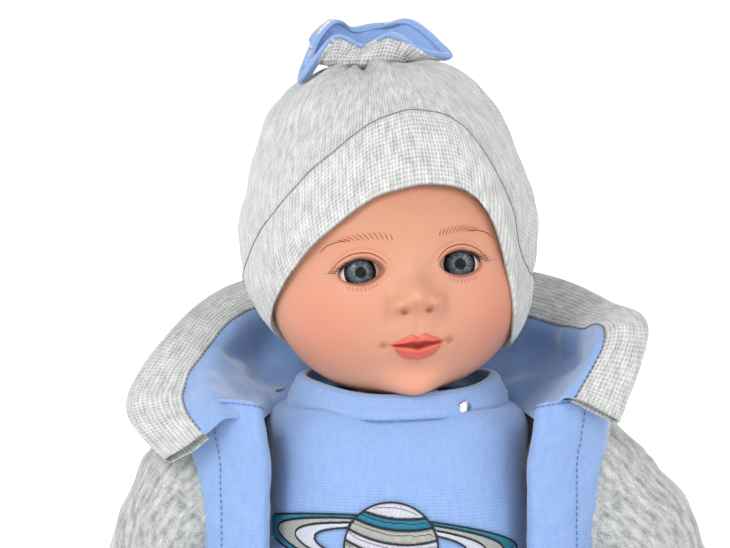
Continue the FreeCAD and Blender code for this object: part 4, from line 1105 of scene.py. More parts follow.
def build_stud():
    middle = sum(box_of("press_stud"))/2
    away = middle - np.array([0, 5, middle[2]])
    away /= np.linalg.norm(away)
    place = np.array([0, 5, middle[2]]) + away*49.0
    cap = turned([(3.1, 0), (3.2, 0.4), (3.0, 0.8), (2.5, 1.0), (2.2, 0.9), (1.9, 1.1),
                  (1.2, 1.5), (0.5, 1.7), (0.1, 1.75)], place, away, "stud_cap",
                 finish["stud_metal"])
    dress(cap, "torso", "stud_metal", "press_stud")


# ---- embroidery ---------------------------------------------------------------------------------

PLANET = (-3.5, 111.5)
PLANET_RADIUS = 20.5
RING_HALF = (56.0, 13.0)
RING_TILT = math.radians(-5)


def ring_share(x, z):
    """How far a place is out across the planet's ring: 1 on its outer edge."""
    from_x, from_z = x - PLANET[0], z - PLANET[1] - 1.0
    across = from_x*math.cos(RING_TILT) + from_z*math.sin(RING_TILT)
    rise = -from_x*math.sin(RING_TILT) + from_z*math.cos(RING_TILT)
    return math.hypot(across/RING_HALF[0], rise/RING_HALF[1]), rise


def fill_threads(colour_of, lean, pitch, x_range, z_range):
    """Satin stitches: slanted parallel threads, cut where the colour under them changes."""
    runs = {}
    slope = math.tan(lean)
    for start in np.arange(x_range[0] - 30, x_range[1] + 30, pitch):
        current, run = None, []
        for z in np.arange(z_range[0], z_range[1], 0.45):
            x = start + (z - z_range[0])*slope
            found = colour_of(x, z) if x_range[0] < x < x_range[1] else None
            if found != current:
                if current and len(run) > 2:
                    runs.setdefault(current, []).append(run)
                current, run = found, []
            if found:
                run.append((x, z))
        if current and len(run) > 2:
            runs.setdefault(current, []).append(run)
    return runs


def planet_colour(x, z):
    from_x, from_z = x - PLANET[0], z - PLANET[1]
    share, rise = ring_share(x, z)
    if math.hypot(from_x, from_z) > PLANET_RADIUS:
        return None
    if rise < 0 and 0.62 < share < 1.0:
        return None
    level = from_z + 0.14*from_x - 0.010*from_x**2
    if level > 13.5:
        return "white_thread"
    if level > 8.5:
        return "teal_thread"
    if level > 2.5:
        return "silver_thread"
    if level > -3:
        return "white_thread"
    return "silver_thread" if level > -9 else "teal_thread"


def ring_colour(x, z):
    share, rise = ring_share(x, z)
    from_x, from_z = x - PLANET[0], z - PLANET[1]
    if rise > 0 and math.hypot(from_x, from_z) < PLANET_RADIUS + 0.5:
        return None
    if share > 1.0 or share < 0.60:
        return None
    if share > 0.89:
        return "teal_thread"
    if share > 0.75:
        return "silver_thread"
    return "white_thread"


def build_embroidery():
    sewn = {}
    for colour_of, lean, lift in ((planet_colour, 0.32, 0.5), (ring_colour, -0.18, 0.75)):
        runs = fill_threads(colour_of, lean, 0.42, (-56, 51), (88, 140))
        for colour, lines in runs.items():
            for line in lines:
                places = np.array(line)
                bow = np.sin(np.linspace(0, math.pi, len(places)))**0.6
                points = pullover_front(places[:, 0], places[:, 1], lift)
                points[:, 1] -= 0.55*bow
                sewn.setdefault(colour, []).append(doll(points))
    first = True
    for colour, lines in sewn.items():
        piece = tubes(f"embroidery_{colour}", lines, [0.26]*len(lines), finish[colour], 4)
        dress(piece, "torso", "embroidery_thread", *(["embroidery_patch"] if first else []))
        first = False
    build_outlines()


def build_outlines():
    """Black cord stitches round every coloured field."""
    lines = []

    def outline(places, lift=1.35):
        places = np.array(places)
        points = pullover_front(places[:, 0], places[:, 1], lift)
        lines.append(doll(points))

    def ring_point(share, turn):
        across, rise = RING_HALF[0]*share*math.cos(turn), RING_HALF[1]*share*math.sin(turn)
        return (PLANET[0] + across*math.cos(RING_TILT) - rise*math.sin(RING_TILT),
                PLANET[1] + 1.0 + across*math.sin(RING_TILT) + rise*math.cos(RING_TILT))

    def visible(place, behind):
        inside = math.hypot(place[0] - PLANET[0], place[1] - PLANET[1]) < PLANET_RADIUS
        return abs(place[0]) < 55 and not (behind and inside)

    def runs_of(places, shown):
        run = []
        for place in places:
            if shown(place):
                run.append(place)
            elif len(run) > 3:
                outline(run)
                run = []
            else:
                run = []
        if len(run) > 3:
            outline(run)

    for share in (1.0, 0.89, 0.75, 0.60):
        upper = [ring_point(share, turn) for turn in np.linspace(0, math.pi, 160)]
        lower = [ring_point(share, turn) for turn in np.linspace(math.pi, 2*math.pi, 160)]
        runs_of(upper, lambda place: visible(place, True))
        runs_of(lower, lambda place: visible(place, False))

    def free(place):
        share, rise = ring_share(*place)
        return not (rise < 0 and 0.60 < share < 1.0)

    circle = [(PLANET[0] + PLANET_RADIUS*math.sin(turn), PLANET[1] + PLANET_RADIUS*math.cos(turn))
              for turn in np.linspace(0, 2*math.pi, 240)]
    runs_of(circle, free)
    for level in (13.5, 8.5, 2.5, -3.0, -9.0):
        stripe = []
        for from_x in np.linspace(-PLANET_RADIUS, PLANET_RADIUS, 90):
            from_z = level - 0.14*from_x + 0.010*from_x**2
            if math.hypot(from_x, from_z) < PLANET_RADIUS:
                stripe.append((PLANET[0] + from_x, PLANET[1] + from_z))
        runs_of(stripe, free)
    cords = []
    for line in lines:
        dots = along(line, 0.5)
        if len(dots) > 3:
            twist = 0.10*np.sin(np.arange(len(dots))*1.9)
            dots[:, 1] += twist*MM
            cords.append(dots)
    piece = tubes("embroidery_outlines", cords, [0.42]*len(cords), finish["black_thread"], 6)
    dress(piece, "torso", "embroidery_thread")


# ---- jacket -------------------------------------------------------------------------------------

JACKET_STATIONS = [(60, 88, 67, 3), (64, 88.5, 67.5, 3), (90, 88, 67, 2.5), (118, 86.5, 66, 2),
                   (140, 83.5, 64, 2.5), (154, 77, 59, 4), (163, 69, 52, 5), (169, 62, 47, 5.5),
                   (172, 59, 45, 5.5)]


def build_jacket():
    columns, rows = 300, 110
    rings = []
    for height, wide, deep, middle in JACKET_STATIONS:
        front = 72 + 34*smooth(height, 150, 170)
        rings.append(ring_station(wide, deep, middle, height, columns, 2.3, front, 360 - front,
                                  False))
    rings = np.array(rings)
    points = resample(rings, rows)
    normal = outward_of(points)
    folds = 1.3*waves(points*[1, 1, 0.45], 44, 31) + 0.5*waves(points, 19, 32)
    folds *= 0.35 + 0.65*smooth(points[..., 2], 175, 150)
    points = points + normal*folds[..., None]
    body = cloth_piece("jacket_fleece", doll(points), "grey_fleece", (400, 120), 2.2, "torso",
                       "jacket_body")
    hem = doll(points[2] + normal[2]*0.2)
    thread = stitches("jacket_hem_stitches", hem, 2.4, 1.0, 0.2, finish["grey_thread"],
                      np.array([0, 0, 1.0]))
    dress(thread, "torso", "grey_fleece")
    for side, label in ((1, "left"), (-1, "right")):
        build_lapel(side, label)


def lapel_net(side):
    """Cross-sections from the hem up to the hood: inside, rolled edge, front, outer edge."""
    net = []
    for height, rolled, front, outer, depth in (
            (62, 60.5, 74, 89, 2), (85, 59.5, 74, 89.5, 1), (108, 58, 73, 90, 0),
            (130, 57.5, 73, 91, 0), (148, 57, 73, 92, -1), (160, 59, 75, 93.5, -1),
            (169, 61, 77, 95, 0)):
        net.append([(rolled + 5, -28 + depth, height), (rolled + 0.4, -34.5 + depth, height),
                    (rolled - 1.2, -39.5 + depth, height), (rolled + 2.2, -43.5 + depth, height),
                    (front - 4, -41.5 + depth, height), (front + 5, -35.5 + depth, height),
                    (outer - 4, -26.5 + depth, height), (outer, -19.5 + depth, height)])
    net = np.array(net, float)
    net[-1, :, 2] += [1.0, 2.0, 4.0, 6.0, 7.0, 6.0, 4.0, 2.0]
    return net*[side, 1, 1]


def build_lapel(side, label):
    points = loft(lapel_net(side), 130, 90)
    normal = grid_normals(points)
    normal *= -np.sign(normal[:, 45, 1].mean())
    folds = 0.55*waves(points*[1, 1, 0.5], 30, 50 + side)
    folds += 0.25*waves(points, 12, 60 + side)
    share = np.linspace(0, 1, 90)[None]
    ditch = -0.45*np.exp(-((share - 0.72)/0.018)**2)
    points = points + normal*(folds*np.sin(share*math.pi) + ditch)[..., None]
    facing = cloth_piece(f"jacket_facing_{label}", doll(points), "blue_velour", (52, 110), 2.0,
                         "torso", f"jacket_lapel_{label}", flip=side < 0)
    row_of_stitches = doll(points[4:-3, 64] + normal[4:-3, 64]*0.35)
    thread = stitches(f"facing_topstitch_{label}", row_of_stitches, 1.7, 1.3, 0.22,
                      finish["blue_thread"], np.array([0, -1.0, 0]))
    dress(thread, "torso", "blue_velour")
    edge = points[:, -1] + normal[:, -1]*-1.2
    piping = tubes(f"facing_edge_{label}", [doll(edge)], [1.5], finish["fleece_edge"], 10)
    dress(piping, "torso", "grey_fleece")
    top = doll(points[-4, 8:-2] + normal[-4, 8:-2]*0.35)
    cross_thread = stitches(f"facing_top_stitches_{label}", top, 1.7, 1.0, 0.2,
                            finish["blue_thread"], np.array([0, -1.0, 0]))
    dress(cross_thread, "torso", "blue_velour")


HOOD_NET = [
    [(62, -38, 168), (69, -42, 173), (75, -46, 177), (95, -38, 166)],
    [(65, -19, 169), (80, -26, 187), (91, -22, 201), (110, -11, 203)],
    [(63, 6, 170), (82, 10, 184), (80, 20, 198), (97, 25, 210)],
    [(52, 32, 171), (66, 42, 184), (62, 48, 200), (76, 58, 217)],
    [(27, 52, 172), (34, 64, 185), (34, 68, 203), (40, 82, 222)],
    [(0, 58, 172), (0, 72, 186), (0, 76, 204), (0, 90, 222)],
    [(-27, 52, 172), (-34, 64, 185), (-36, 66, 202), (-44, 82, 219)],
    [(-52, 32, 171), (-66, 40, 186), (-68, 42, 204), (-80, 57, 213)],
    [(-63, 6, 170), (-80, 2, 184), (-86, 8, 190), (-104, 17, 196)],
    [(-65, -19, 169), (-82, -24, 177), (-94, -22, 174), (-120, -9, 168)],
    [(-62, -38, 167), (-74, -46, 168), (-83, -46, 161), (-101, -38, 149)],
]


def build_hood():
    net = np.array(HOOD_NET, float)
    tuck = np.sin(np.linspace(0, math.pi, len(net)))[:, None, None]**0.7
    tucked = net[:, :1]*(1 - 0.14*tuck*[1, 1, 0]) + [0, 0, -3] - tuck*[0, 0, 6]
    net = np.concatenate([tucked, net], 1)
    rows, columns = 260, 84
    points = loft(net, rows, columns)
    normal = -outward_of(points, middle=np.array([0, 5, 215]))
    share = np.linspace(0, 1, columns)[None]
    folds = 1.3*waves(points, 34, 71) + 0.5*waves(points, 15, 72)
    folds *= smooth(share, 0.0, 0.2)*smooth(-share, -1.0, -0.75)
    points = points + normal*folds[..., None]
    cut = round(columns*0.75)
    inner = doll(points[:, :cut + 1] + normal[:, :cut + 1]*0.9)
    lining = cloth_piece("hood_lining_velour", inner, "blue_velour", (60, 340), 1.6, "torso",
                         offset=0)

    shell_points = points - normal*(1.6 + 1.2*np.sin(share*math.pi))[..., None]
    shell = cloth_piece("hood_shell_fleece", doll(shell_points[9:-9, 12:]), "grey_fleece",
                        (90, 340), 1.6, "torso", "jacket_hood", offset=0, flip=True)

    strip = points[:, cut:]
    strip_normal = normal[:, cut:]
    across = np.linspace(0, 1, strip.shape[1])[None, :, None]
    puff = 1.4 + 0.8*np.sin(across*math.pi)**0.5
    ribs = 0.35*np.sin(np.arange(rows)*0.55)[:, None, None]*np.sin(across*math.pi)
    inner_face = strip + strip_normal*(puff + ribs)
    outward, rim_normal = strip[:, -1:] - strip[:, -4:-3], strip_normal[:, -1:]
    rim = strip[:, -1:] + outward*0.35
    turned_edge = np.concatenate([rim + rim_normal*1.1, rim + outward*0.22 - rim_normal*0.6,
                                  rim - rim_normal*2.4], 1)
    outer_face = (strip - strip_normal*(2.9 + 0.5*np.sin(across*math.pi)))[:, ::-1]
    band_points = np.concatenate([inner_face, turned_edge, outer_face], 1)
    band = cloth_piece("hood_band_knit", doll(band_points), "grey_knit", (44, 380), 0.7, "torso",
                       "hood_band", offset=0)
    seam = doll(points[:, cut] + normal[:, cut]*2.0)
    thread = stitches("hood_band_stitches", seam, 2.0, 1.0, 0.2, finish["grey_thread"],
                      np.array([0, -1.0, 0.3]))
    dress(thread, "torso", "grey_knit")


# ---- sleeves and arms ---------------------------------------------------------------------------

def oval(middle, tall, wide, columns):
    """A ring round a middle: tall is its half axis at turn 0, wide a quarter turn further."""
    turn = around(columns)
    return np.array(middle, float) + np.outer(np.cos(turn), tall) + np.outer(np.sin(turn), wide)


def with_cuff(points, normal, rim, depth, shift):
    """Carry a tube of cloth round its open end, moved by shift, and back up inside."""
    edge = points[-1:] - normal[-1:]*rim + shift
    inside = points[::-1][:10] - normal[::-1][:10]*depth
    return np.concatenate([points, edge, inside])


SLEEVE_STATIONS = [
    # middle of the ring, its upward-outward half axis, its fore-and-aft half axis
    ((64, 3, 137), (0.10, 0, 0.99), 30, (0, 1, 0), 24),
    ((79, 2, 133), (0.34, 0, 0.94), 34, (0, 1, 0), 27),
    ((86, 1, 128), (0.55, 0, 0.83), 31, (0, 1, 0), 27),
    ((95, -1, 120), (0.75, 0, 0.66), 28, (0, 1, 0), 26.5),
    ((104, -4, 109), (0.90, 0, 0.43), 27.5, (0, 0.99, -0.1), 26),
    ((111, -9, 97), (0.97, 0, 0.25), 27, (0, 0.98, -0.18), 25.5),
    ((116, -15, 83), (0.99, 0, 0.12), 26, (0, 0.97, -0.22), 25),
    ((118, -20, 70), (1, 0, 0.05), 24.5, (0, 0.97, -0.24), 23.5),
    ((118, -23.5, 60), (1, 0, 0.02), 22.5, (0, 0.97, -0.24), 21.8),
    ((118, -25, 55), (1, 0, 0.02), 22, (0, 0.97, -0.24), 21.4),
]


def sleeve_rings(side, columns):
    rings = []
    for middle, up, tall, fore, deep in SLEEVE_STATIONS:
        ring = oval(middle, np.array(up)*tall, np.array(fore)*deep, columns)
        hang = 11.0*smooth(-middle[2], -130, -90) if side < 0 else 0.0
        rings.append((ring - [hang, 0, 0])*[side, 1, 1])
    return np.array(rings)


def build_sleeve(side, label):
    rows, columns = 120, 180
    points = resample(sleeve_rings(side, columns), rows)
    normal = outward_of(points, closed=True, middle=points.mean(1, keepdims=True))
    share = np.linspace(0, 1, rows)[:, None]
    folds = 1.5*waves(points*[0.6, 0.6, 1.0], 30, 80 + side) + 0.5*waves(points, 14, 82 + side)
    gathers = 1.1*np.sin(14*share*math.pi + 1.5*np.sin(
        around(columns)))*smooth(share, 0.45, 0.8)
    hem = smooth(share, 0.90, 0.915)
    folds = (folds + gathers)*(1 - hem)*smooth(share, 0, 0.12) + 0.5*hem
    armhole = -0.9*np.exp(-((share - 0.29)/0.012)**2)
    points = points + normal*(folds + armhole)[..., None]
    whole = with_cuff(points, normal, 1.4, 3.0, [0, 0, -1.2])
    sleeve = grid(f"sleeve_fleece_{label}", doll(whole), finish["grey_fleece"], (160, 130),
                  closed=True, flip=side < 0)
    thicken(sleeve, 0.9)
    bend = (side*79, 0, 121), (side*88, 0, 114)
    dress_between(sleeve, f"arm_{label}", "grey_fleece", *bend, f"sleeve_{label}")
    for index, (share, lift, size) in enumerate(((0.29, 0.1, 0.24), (0.915, 0.45, 0.2))):
        row = round(rows*share)
        loop = doll(ring_path(points[row]) + ring_path(normal[row])*lift)
        thread = stitches(f"sleeve_stitches_{label}_{index}", loop, 2.2, 0.8, size,
                          finish["grey_thread"])
        dress_between(thread, f"arm_{label}", "grey_fleece", *bend)


def capsule(start, end, first, last, sides=28, caps=8):
    """Vertices and faces of a round-ended taper, in mm."""
    start, end = np.array(start, float), np.array(end, float)
    direction = (end - start)/max(np.linalg.norm(end - start), 1e-6)
    helper = np.array([0, 0, 1.0]) if abs(direction[2]) < 0.8 else np.array([1.0, 0, 0])
    side = np.cross(direction, helper)
    side /= np.linalg.norm(side)
    up = np.cross(side, direction)
    levels = np.radians(np.linspace(-88, 0, caps))
    rings = [(start + direction*first*math.sin(level), first*math.cos(level))
             for level in levels]
    rings += [(end + direction*last*math.sin(-level), last*math.cos(level))
              for level in levels[::-1]]
    turn = around(sides)
    vertices = [place + radius*(side*math.cos(t) + up*math.sin(t))
                for place, radius in rings for t in turn]
    faces = []
    for row in range(len(rings) - 1):
        for column in range(sides):
            following = (column + 1) % sides
            faces.append([row*sides + column, row*sides + following,
                          (row + 1)*sides + following, (row + 1)*sides + column])
    faces.append(list(range(sides))[::-1])
    faces.append([(len(rings) - 1)*sides + column for column in range(sides)])
    return vertices, faces


def moulded(name, blobs, voxel, rounds, material, place):
    """One smooth vinyl or stuffed form from overlapping capsules."""
    vertices, faces = [], []
    for blob in blobs:
        more, new_faces = capsule(*blob)
        faces += [[index + len(vertices) for index in face] for face in new_faces]
        vertices += list(more)
    piece = new_object(name, place(np.array(vertices)), faces, material)
    remesh = piece.modifiers.new("voxels", "REMESH")
    remesh.mode = "VOXEL"
    remesh.voxel_size = voxel*MM
    remesh.use_smooth_shade = True
    soften = piece.modifiers.new("soften", "SMOOTH")
    soften.factor = 0.5
    soften.iterations = rounds
    apply_modifiers(piece)
    piece.data.materials.clear()
    piece.data.materials.append(material)
    piece.data.shade_smooth()
    return piece


def vertex_array(piece):
    values = np.empty(3*len(piece.data.vertices), np.float32)
    piece.data.vertices.foreach_get("co", values)
    return values.reshape(-1, 3).astype(float)


def paint_limb(piece, blushes, creases):
    """Vinyl colour for a hand or foot: pink at the given points, with painted shade darkening the creases."""
    points = vertex_array(piece)/MM - DOLL_ORIGIN
    colour = np.zeros((len(points), 4))
    colour[:] = srgb(214, 158, 130)
    colour[:, 3] = 0
    # pink blush first, then painted shade in the creases
    for group, shade in ((blushes, srgb(234, 138, 118)), (creases, srgb(178, 104, 80))):
        for at, size, strength in group:
            mask = strength*np.exp(-((points - np.array(at))**2).sum(1)/size**2)
            colour[:, :3] += (np.array(shade[:3]) - colour[:, :3])*mask[:, None]
    paint(piece, colour)


def build_hand(side, label):
    """A curled baby hand on its forearm, moulded in one piece, with five fingers."""
    low, high = box_of(f"hand_{label}")
    tie_low, tie_high = box_of(f"arm_tie_{label}")
    wrist = np.array([(low[0] + high[0])/2 + side*1.0, low[1] + 13, low[2] + 33])
    top = np.array([(tie_low[0] + tie_high[0])/2, (tie_low[1] + tie_high[1])/2, high[2] - 9])
    down = (wrist - top)/np.linalg.norm(wrist - top)
    palm = wrist + down*12 + [0, -1, 0]
    fore = np.array([0, -1.0, 0.1])
    inside = np.array([-side*1.0, 0, 0])
    blobs = [(top, (top + wrist)/2, 11.0, 11.6), ((top + wrist)/2 + down*2, wrist, 11.4, 8.6),
             (wrist, palm, 8.4, 9.6), (palm + fore*3, palm + down*3 - fore*4, 8.6, 8.2)]
    tips, knuckles = [], []
    for index in range(4):
        spread = (index - 1.5)*5.0
        base = palm + down*5 + fore*spread*-0.95 + inside*1.0
        bend = base + down*6.5 + inside*1.5 + fore*spread*-0.08
        tip = bend + down*3.4 + inside*(4.4 + 0.4*index)
        radius = 3.3 - 0.18*abs(index - 1)
        blobs += [(base, bend, radius + 0.35, radius), (bend, tip, radius, radius - 0.55)]
        tips.append(tip)
        knuckles.append(base)
    thumb_base = palm + fore*7 + inside*3 - down*1
    thumb_bend = thumb_base + fore*4.5 + down*4.5 + inside*2
    thumb_tip = thumb_bend + down*5.2 + inside*1.5
    blobs += [(thumb_base, thumb_bend, 4.0, 3.5), (thumb_bend, thumb_tip, 3.5, 2.8)]
    tips.append(thumb_tip)
    hand = moulded(f"vinyl_hand_{label}", blobs, 0.65, 9, finish["vinyl_skin"], doll)
    # painted shade round the wrist and over the knuckles
    wrist_crease_shade = [(wrist + np.array([math.cos(t), math.sin(t), 0])*8.6, 2.4, 0.5)
                    for t in np.linspace(0, 2*math.pi, 14)]
    paint_limb(hand, [(tip, 3.8, 0.5) for tip in tips] + [(palm, 9, 0.25)],
               [(knuckle, 1.9, 0.35) for knuckle in knuckles] + wrist_crease_shade)
    dress(hand, f"arm_{label}", "vinyl_skin", f"hand_{label}")

    nails = []
    for tip in tips:
        out = -inside if tip is not thumb_tip else fore
        nails.append(((tip + out*1.7 - down*0.4), (tip + out*1.9 + down*0.9), 1.5, 1.3))
    nail = moulded(f"finger_nails_{label}", nails, 0.35, 2, finish["vinyl_skin"], doll)
    paint_limb(nail, [(tip, 8, 0.7) for tip in tips], [])
    dress(nail, f"arm_{label}", "vinyl_skin")

    stuffed = moulded(f"stuffed_arm_{label}", [
        ((side*64, 1, 142), (side*86, 1, 138), 10, 12.5), ((side*86, 1, 138),
         (side*99, -1, 126), 12.5, 13), ((side*99, -1, 126), (top + [0, 1, 7]), 13, 12.5)],
        1.6, 6, finish["body_cloth"], doll)
    dress_between(stuffed, f"arm_{label}", "body_cloth", (side*74, 0, 150), (side*98, 0, 150),
                  f"upper_arm_{label}")


# ---- trousers, legs and feet --------------------------------------------------------------------

def build_trousers():
    columns = 260
    stations = [(1.2, 30, 16, 30, 2.4), (1.6, 46, 28, 28, 2.6), (5, 57, 37, 23, 2.6),
                (14, 63, 43, 18, 2.5), (28, 65, 46, 14, 2.4), (42, 64.5, 47, 11.5, 2.3),
                (54, 62.5, 48.5, 9.5, 2.3), (60, 62, 49.5, 9, 2.3)]
    rings = np.array([ring_station(wide, deep, middle, height, columns, power)
                      for height, wide, deep, middle, power in stations])
    points = resample(rings, 90)
    normal = outward_of(points, closed=True)
    folds = 1.1*waves(points*[0.7, 0.7, 1], 34, 91)*smooth(points[..., 2], 3, 14)
    folds *= smooth(-points[..., 2], -59, -50)
    points = points + normal*folds[..., None]
    points[..., 2] = np.maximum(points[..., 2], 0.9)
    seat = grid("trouser_seat_cloth", doll(points), finish["trouser_cloth"], (390, 90),
                closed=True)
    close_poles(seat, [doll(points[0].mean(0))], columns, 90)
    thicken(seat, 0.9)
    dress(seat, "torso", "trouser_cloth", "trousers_seat")

    heights = [(57.5, 62.6), (59, 63.6), (62, 64.0), (65, 63.8), (67.5, 62.6), (67.8, 61.2),
               (66.5, 60.0), (63, 59.8)]
    band = np.array([ring_station(wide, wide - 12.5, 9, height, columns, 2.3)
                     for height, wide in heights])
    turn = around(columns)
    gather = 0.45*np.sin(64*turn)[None, :, None]
    band = resample(band, 30)
    band = band + outward_of(band, closed=True)*gather
    belt = cloth_piece("trouser_waistband_cloth", doll(band), "trouser_cloth", (390, 20), 0.7,
                       "torso", "trousers_waistband", closed=True)


LEG_STATIONS = [((33, 24, 31), 30.0, 29.5), ((35, 4, 30), 30.0, 29.0), ((40, -20, 29), 28.6, 27.8),
                ((45, -46, 28), 27.2, 26.4), ((50, -72, 27), 26.0, 25.4), ((55, -96, 26), 24.8, 24.3),
                ((58.5, -112, 25), 23.8, 23.4), ((60, -120, 24.6), 23.4, 23.0),
                ((60.8, -124, 24.4), 23.0, 22.6)]


def build_trouser_leg(side, label):
    rows, columns = 130, 180
    turn = around(columns)
    across, up = np.array([0.985, 0.17, 0]), np.array([0, 0, 1.0])
    rings = [oval(middle, up*tall, across*wide, columns)*[side, 1, 1]
             for middle, wide, tall in LEG_STATIONS]
    points = resample(np.array(rings), rows)
    normal = outward_of(points, closed=True, middle=points.mean(1, keepdims=True))
    share = np.linspace(0, 1, rows)[:, None]
    folds = 1.5*waves(points*[0.6, 1, 0.6], 30, 100 + side) + 0.4*waves(points, 13, 102 + side)
    knee = 1.2*np.sin(15*share*math.pi + 1.2*np.sin(turn))*np.exp(-((share - 0.5)/0.22)**2)
    cuff = smooth(share, 0.90, 0.915)
    folds = (folds + knee)*(1 - cuff)*smooth(share, 0, 0.1) + 0.7*cuff
    seam = -0.6*np.exp(-(np.sin((turn - 1.57)/2)/0.022)**2)
    points = points + normal*(folds + seam)[..., None]
    points[..., 2] = np.maximum(points[..., 2], 0.9 + 0.25*np.sin(9*share*math.pi))
    whole = with_cuff(points, normal, 1.3, 2.6, [side*0.2, -1.2, 0])
    leg = grid(f"trouser_leg_cloth_{label}", doll(whole), finish["trouser_cloth"], (160, 160),
               closed=True, flip=side < 0)
    thicken(leg, 0.8)
    dress_between(leg, f"leg_{label}", "trouser_cloth", (side*38, 16, 28), (side*38, -18, 28),
                  f"trouser_leg_{label}")
    row = round(rows*0.91)
    loop = doll(ring_path(points[row]))
    thread = stitches(f"trouser_cuff_stitches_{label}", loop, 2.0, 0.9, 0.2,
                      finish["blue_thread"])
    dress(thread, f"leg_{label}", "trouser_cloth")


def build_foot(side, label):
    """A moulded baby foot with five toes on its lower leg, and the stuffed thigh."""
    low, high = box_of(f"foot_{label}")
    heel = np.array([(low[0] + high[0])/2 + side*6.0, low[1] + 15, low[2] + 13.0])
    ball = heel + [0, -1.5, 32]
    calf = np.array([(low[0] + high[0])/2 - side*6.5, high[1] - 14, 28.0])
    shin = heel + [-side*2.5, 22, 9]
    blobs = [(calf, shin, 15.0, 12.6), (shin, heel + [0, 6, 5], 12.4, 12.2),
             (heel, heel + [0, -1, 6], 12.6, 12.2),
             (heel + [side*1, -1, 8], ball + [side*1.5, 0, -4], 11.6, 11.0),
             (ball + [-side*4, 0, -2], ball + [side*4.5, 0, -3], 9.4, 9.0)]
    tips = []
    for index in range(5):
        across = (index - 2)*5.2
        radius = 4.6 - 0.42*index
        base = ball + [side*across, 0.5, 4.0 - 0.5*index]
        tip = base + [side*across*0.06, -1.2, 8.6 - 1.5*index]
        blobs.append((base, tip, radius, radius - 0.2))
        tips.append(tip + [0, 0, 1.2])
    foot = moulded(f"vinyl_foot_{label}", blobs, 0.75, 8, finish["vinyl_skin"], doll)
    blushes = [(tip, 4.2, 0.5) for tip in tips]
    blushes += [(heel + [0, -12, 0], 11, 0.45), (ball + [0, -9, -4], 11, 0.4)]
    # painted shade at the roots of the toes and round the ankle
    creases = [(ball + [side*(index - 1.5)*5.2, -4, 6.0], 1.8, 0.45) for index in range(4)]
    ankle = heel + [-side*1, 15, 8]
    creases += [(ankle + np.array([math.cos(t), 0, math.sin(t)])*11.6, 2.6, 0.4)
                for t in np.linspace(0, 2*math.pi, 16)]
    paint_limb(foot, blushes, creases)
    dress(foot, f"leg_{label}", "vinyl_skin", f"foot_{label}")
    nails = [(tip + [0, 3.2, 0.4], tip + [0, 3.0, 2.0], 1.7 - 0.16*index, 1.4 - 0.14*index)
             for index, tip in enumerate(tips)]
    nail = moulded(f"toe_nails_{label}", nails, 0.35, 2, finish["vinyl_skin"], doll)
    paint_limb(nail, [(tip, 9, 0.7) for tip in tips], [])
    dress(nail, f"leg_{label}", "vinyl_skin")

    thigh = moulded(f"stuffed_thigh_{label}", [
        ((side*30, 30, 29), (side*38, 2, 28), 20, 22), ((side*38, 2, 28),
         (calf + [0, 4, 0]), 22, 17.5)], 2.0, 6, finish["body_cloth"], doll)
    dress_between(thigh, f"leg_{label}", "body_cloth", (side*38, 14, 28), (side*38, -12, 28),
                  f"thigh_{label}")


def build_body():
    """The sewn cloth torso and its filling, under the clothes."""
    stations = [(6, 40, 20, 34), (16, 52, 31, 28), (32, 55.5, 35, 22), (60, 56, 42, 10),
                (85, 54.5, 44.5, 3), (118, 51.5, 42.5, 2.5), (146, 47, 36, 4), (158, 38, 31, 5),
                (163, 30, 27, 5)]
    rings = np.array([ring_station(wide, deep, middle, height, 200, 2.2)
                      for height, wide, deep, middle in stations])
    points = resample(rings, 90)
    normal = outward_of(points, closed=True)
    points = points + normal*(0.8*waves(points, 26, 121))[..., None]
    form = grid("torso_form", doll(points), finish["body_cloth"], (330, 190), closed=True)
    close_poles(form, [doll(points[row].mean(0)) for row in (0, -1)], 200, 90)
    dress(form, "torso", "body_cloth", "torso_skin", "torso_stuffing")


def finish_inner_pieces():
    """Materials for the CAD pieces that stay as they are, by the record's own slots.

    The embroidery's slot has no finish of its own, because threads of four colours stand for it.
    """
    slot_of = {part["node"]: part["material_slot"] for part in frame["record"]["subparts"]}
    for name, piece in frame["nodes"].items():
        piece.data.materials.clear()
        piece.data.materials.append(finish.get(slot_of[name], finish["silver_thread"]))


# ---- camera, light and floor --------------------------------------------------------------------

VIEW_TARGET, VIEW_DISTANCE, VIEW_RISE, LENS = (-14.8, 0, 226.7), 1.25, 6, 137.6


def set_view():
    camera_data = bpy.data.cameras.new("camera")
    camera_data.sensor_width = 36
    camera_data.lens = LENS
    camera_data.clip_end = 20
    camera = bpy.data.objects.new("camera", camera_data)
    bpy.context.scene.collection.objects.link(camera)
    rise = math.radians(VIEW_RISE)
    back = Vector((0, -math.cos(rise), math.sin(rise)))
    camera.location = Vector(doll(VIEW_TARGET)) + VIEW_DISTANCE*back
    camera.rotation_euler = (math.radians(90) - rise, 0, 0)
    bpy.context.scene.camera = camera


def add_light(name, at, aim, size, power, colour):
    lamp = bpy.data.lights.new(name, "AREA")
    lamp.shape = "RECTANGLE"
    lamp.size, lamp.size_y = size
    lamp.energy = power
    lamp.color = colour
    piece = bpy.data.objects.new(name, lamp)
    piece.location = at
    piece.rotation_euler = (Vector(aim) - Vector(at)).to_track_quat("-Z", "Y").to_euler()
    bpy.context.scene.collection.objects.link(piece)


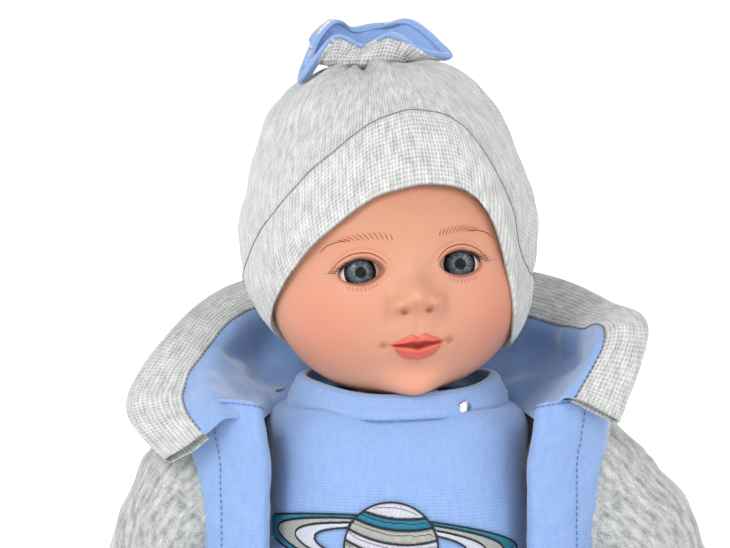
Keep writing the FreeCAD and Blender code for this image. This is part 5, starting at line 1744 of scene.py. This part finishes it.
def set_light():
    middle = tuple(doll((0, 0, 200)))
    add_light("key", (-0.75, -1.15, 1.05), middle, (0.55, 0.75), 8.0, (1.0, 0.985, 0.965))
    add_light("fill", (0.95, -1.1, 0.75), middle, (0.5, 0.7), 1.2, (0.97, 0.985, 1.0))
    for name, turn, rise in (("catch_left", -31, 38), ("catch_right", 42, 32)):
        turn, rise = math.radians(turn), math.radians(rise)
        way = np.array([math.sin(turn)*math.cos(rise), -math.cos(turn)*math.cos(rise),
                        math.sin(rise)])
        add_light(name, tuple(middle + 1.4*way), middle, (0.1, 0.1), 1.8, (1.0, 1.0, 1.0))
    world = bpy.data.worlds.new("studio")
    world.use_nodes = True
    background = world.node_tree.nodes["Background"]
    background.inputs["Color"].default_value = (1, 1, 1, 1)
    background.inputs["Strength"].default_value = 0.48
    scene = bpy.context.scene
    scene.world = world
    scene.view_settings.view_transform = "Standard"
    scene.view_settings.look = "None"


def build_studio():
    """A pale round floor that curves up into a pale wall on every side."""
    bend = np.radians(np.arange(0, 91, 7.5))
    radius = np.concatenate([[0.02, 1.5, 3.0, 4.5], 4.5 + 1.5*np.sin(bend[1:]), [6.0, 6.0]])
    height = np.concatenate([[0, 0, 0, 0], 1.5 - 1.5*np.cos(bend[1:]), [3.5, 6.0]]) - 0.0004
    turn = around(96)
    points = np.stack([np.outer(radius, np.cos(turn)), np.outer(radius, np.sin(turn)),
                       np.repeat(height[:, None], len(turn), 1)], -1)
    paper = plain("studio_paper", (0.98, 0.98, 0.98, 1), (0.96, 0.96, 0.96, 1), 60.0, 0.85)
    shader = paper.node_tree.nodes["Principled BSDF"]
    shader.inputs["Emission Color"].default_value = (1, 1, 1, 1)
    shader.inputs["Emission Strength"].default_value = 0.30
    bowl = grid("studio_bowl", points, paper, (10000, 9000), closed=True)
    close_poles(bowl, [points[0].mean(0)], len(turn), len(radius))


# ---- the doll -----------------------------------------------------------------------------------

set_view()
set_light()
build_studio()
build_body()
face = build_face()
cast = face_caster(face)
build_painted_lines(cast)
build_mouth_inside()
for eye_side, eye_label in ((1, "left"), (-1, "right")):
    build_eye(eye_side, eye_label)
build_hat()
build_pullover()
build_embroidery()
build_jacket()
build_hood()
build_trousers()
for limb_side, limb_label in ((1, "left"), (-1, "right")):
    build_sleeve(limb_side, limb_label)
    build_hand(limb_side, limb_label)
    build_trouser_leg(limb_side, limb_label)
    build_foot(limb_side, limb_label)
finish_inner_pieces()
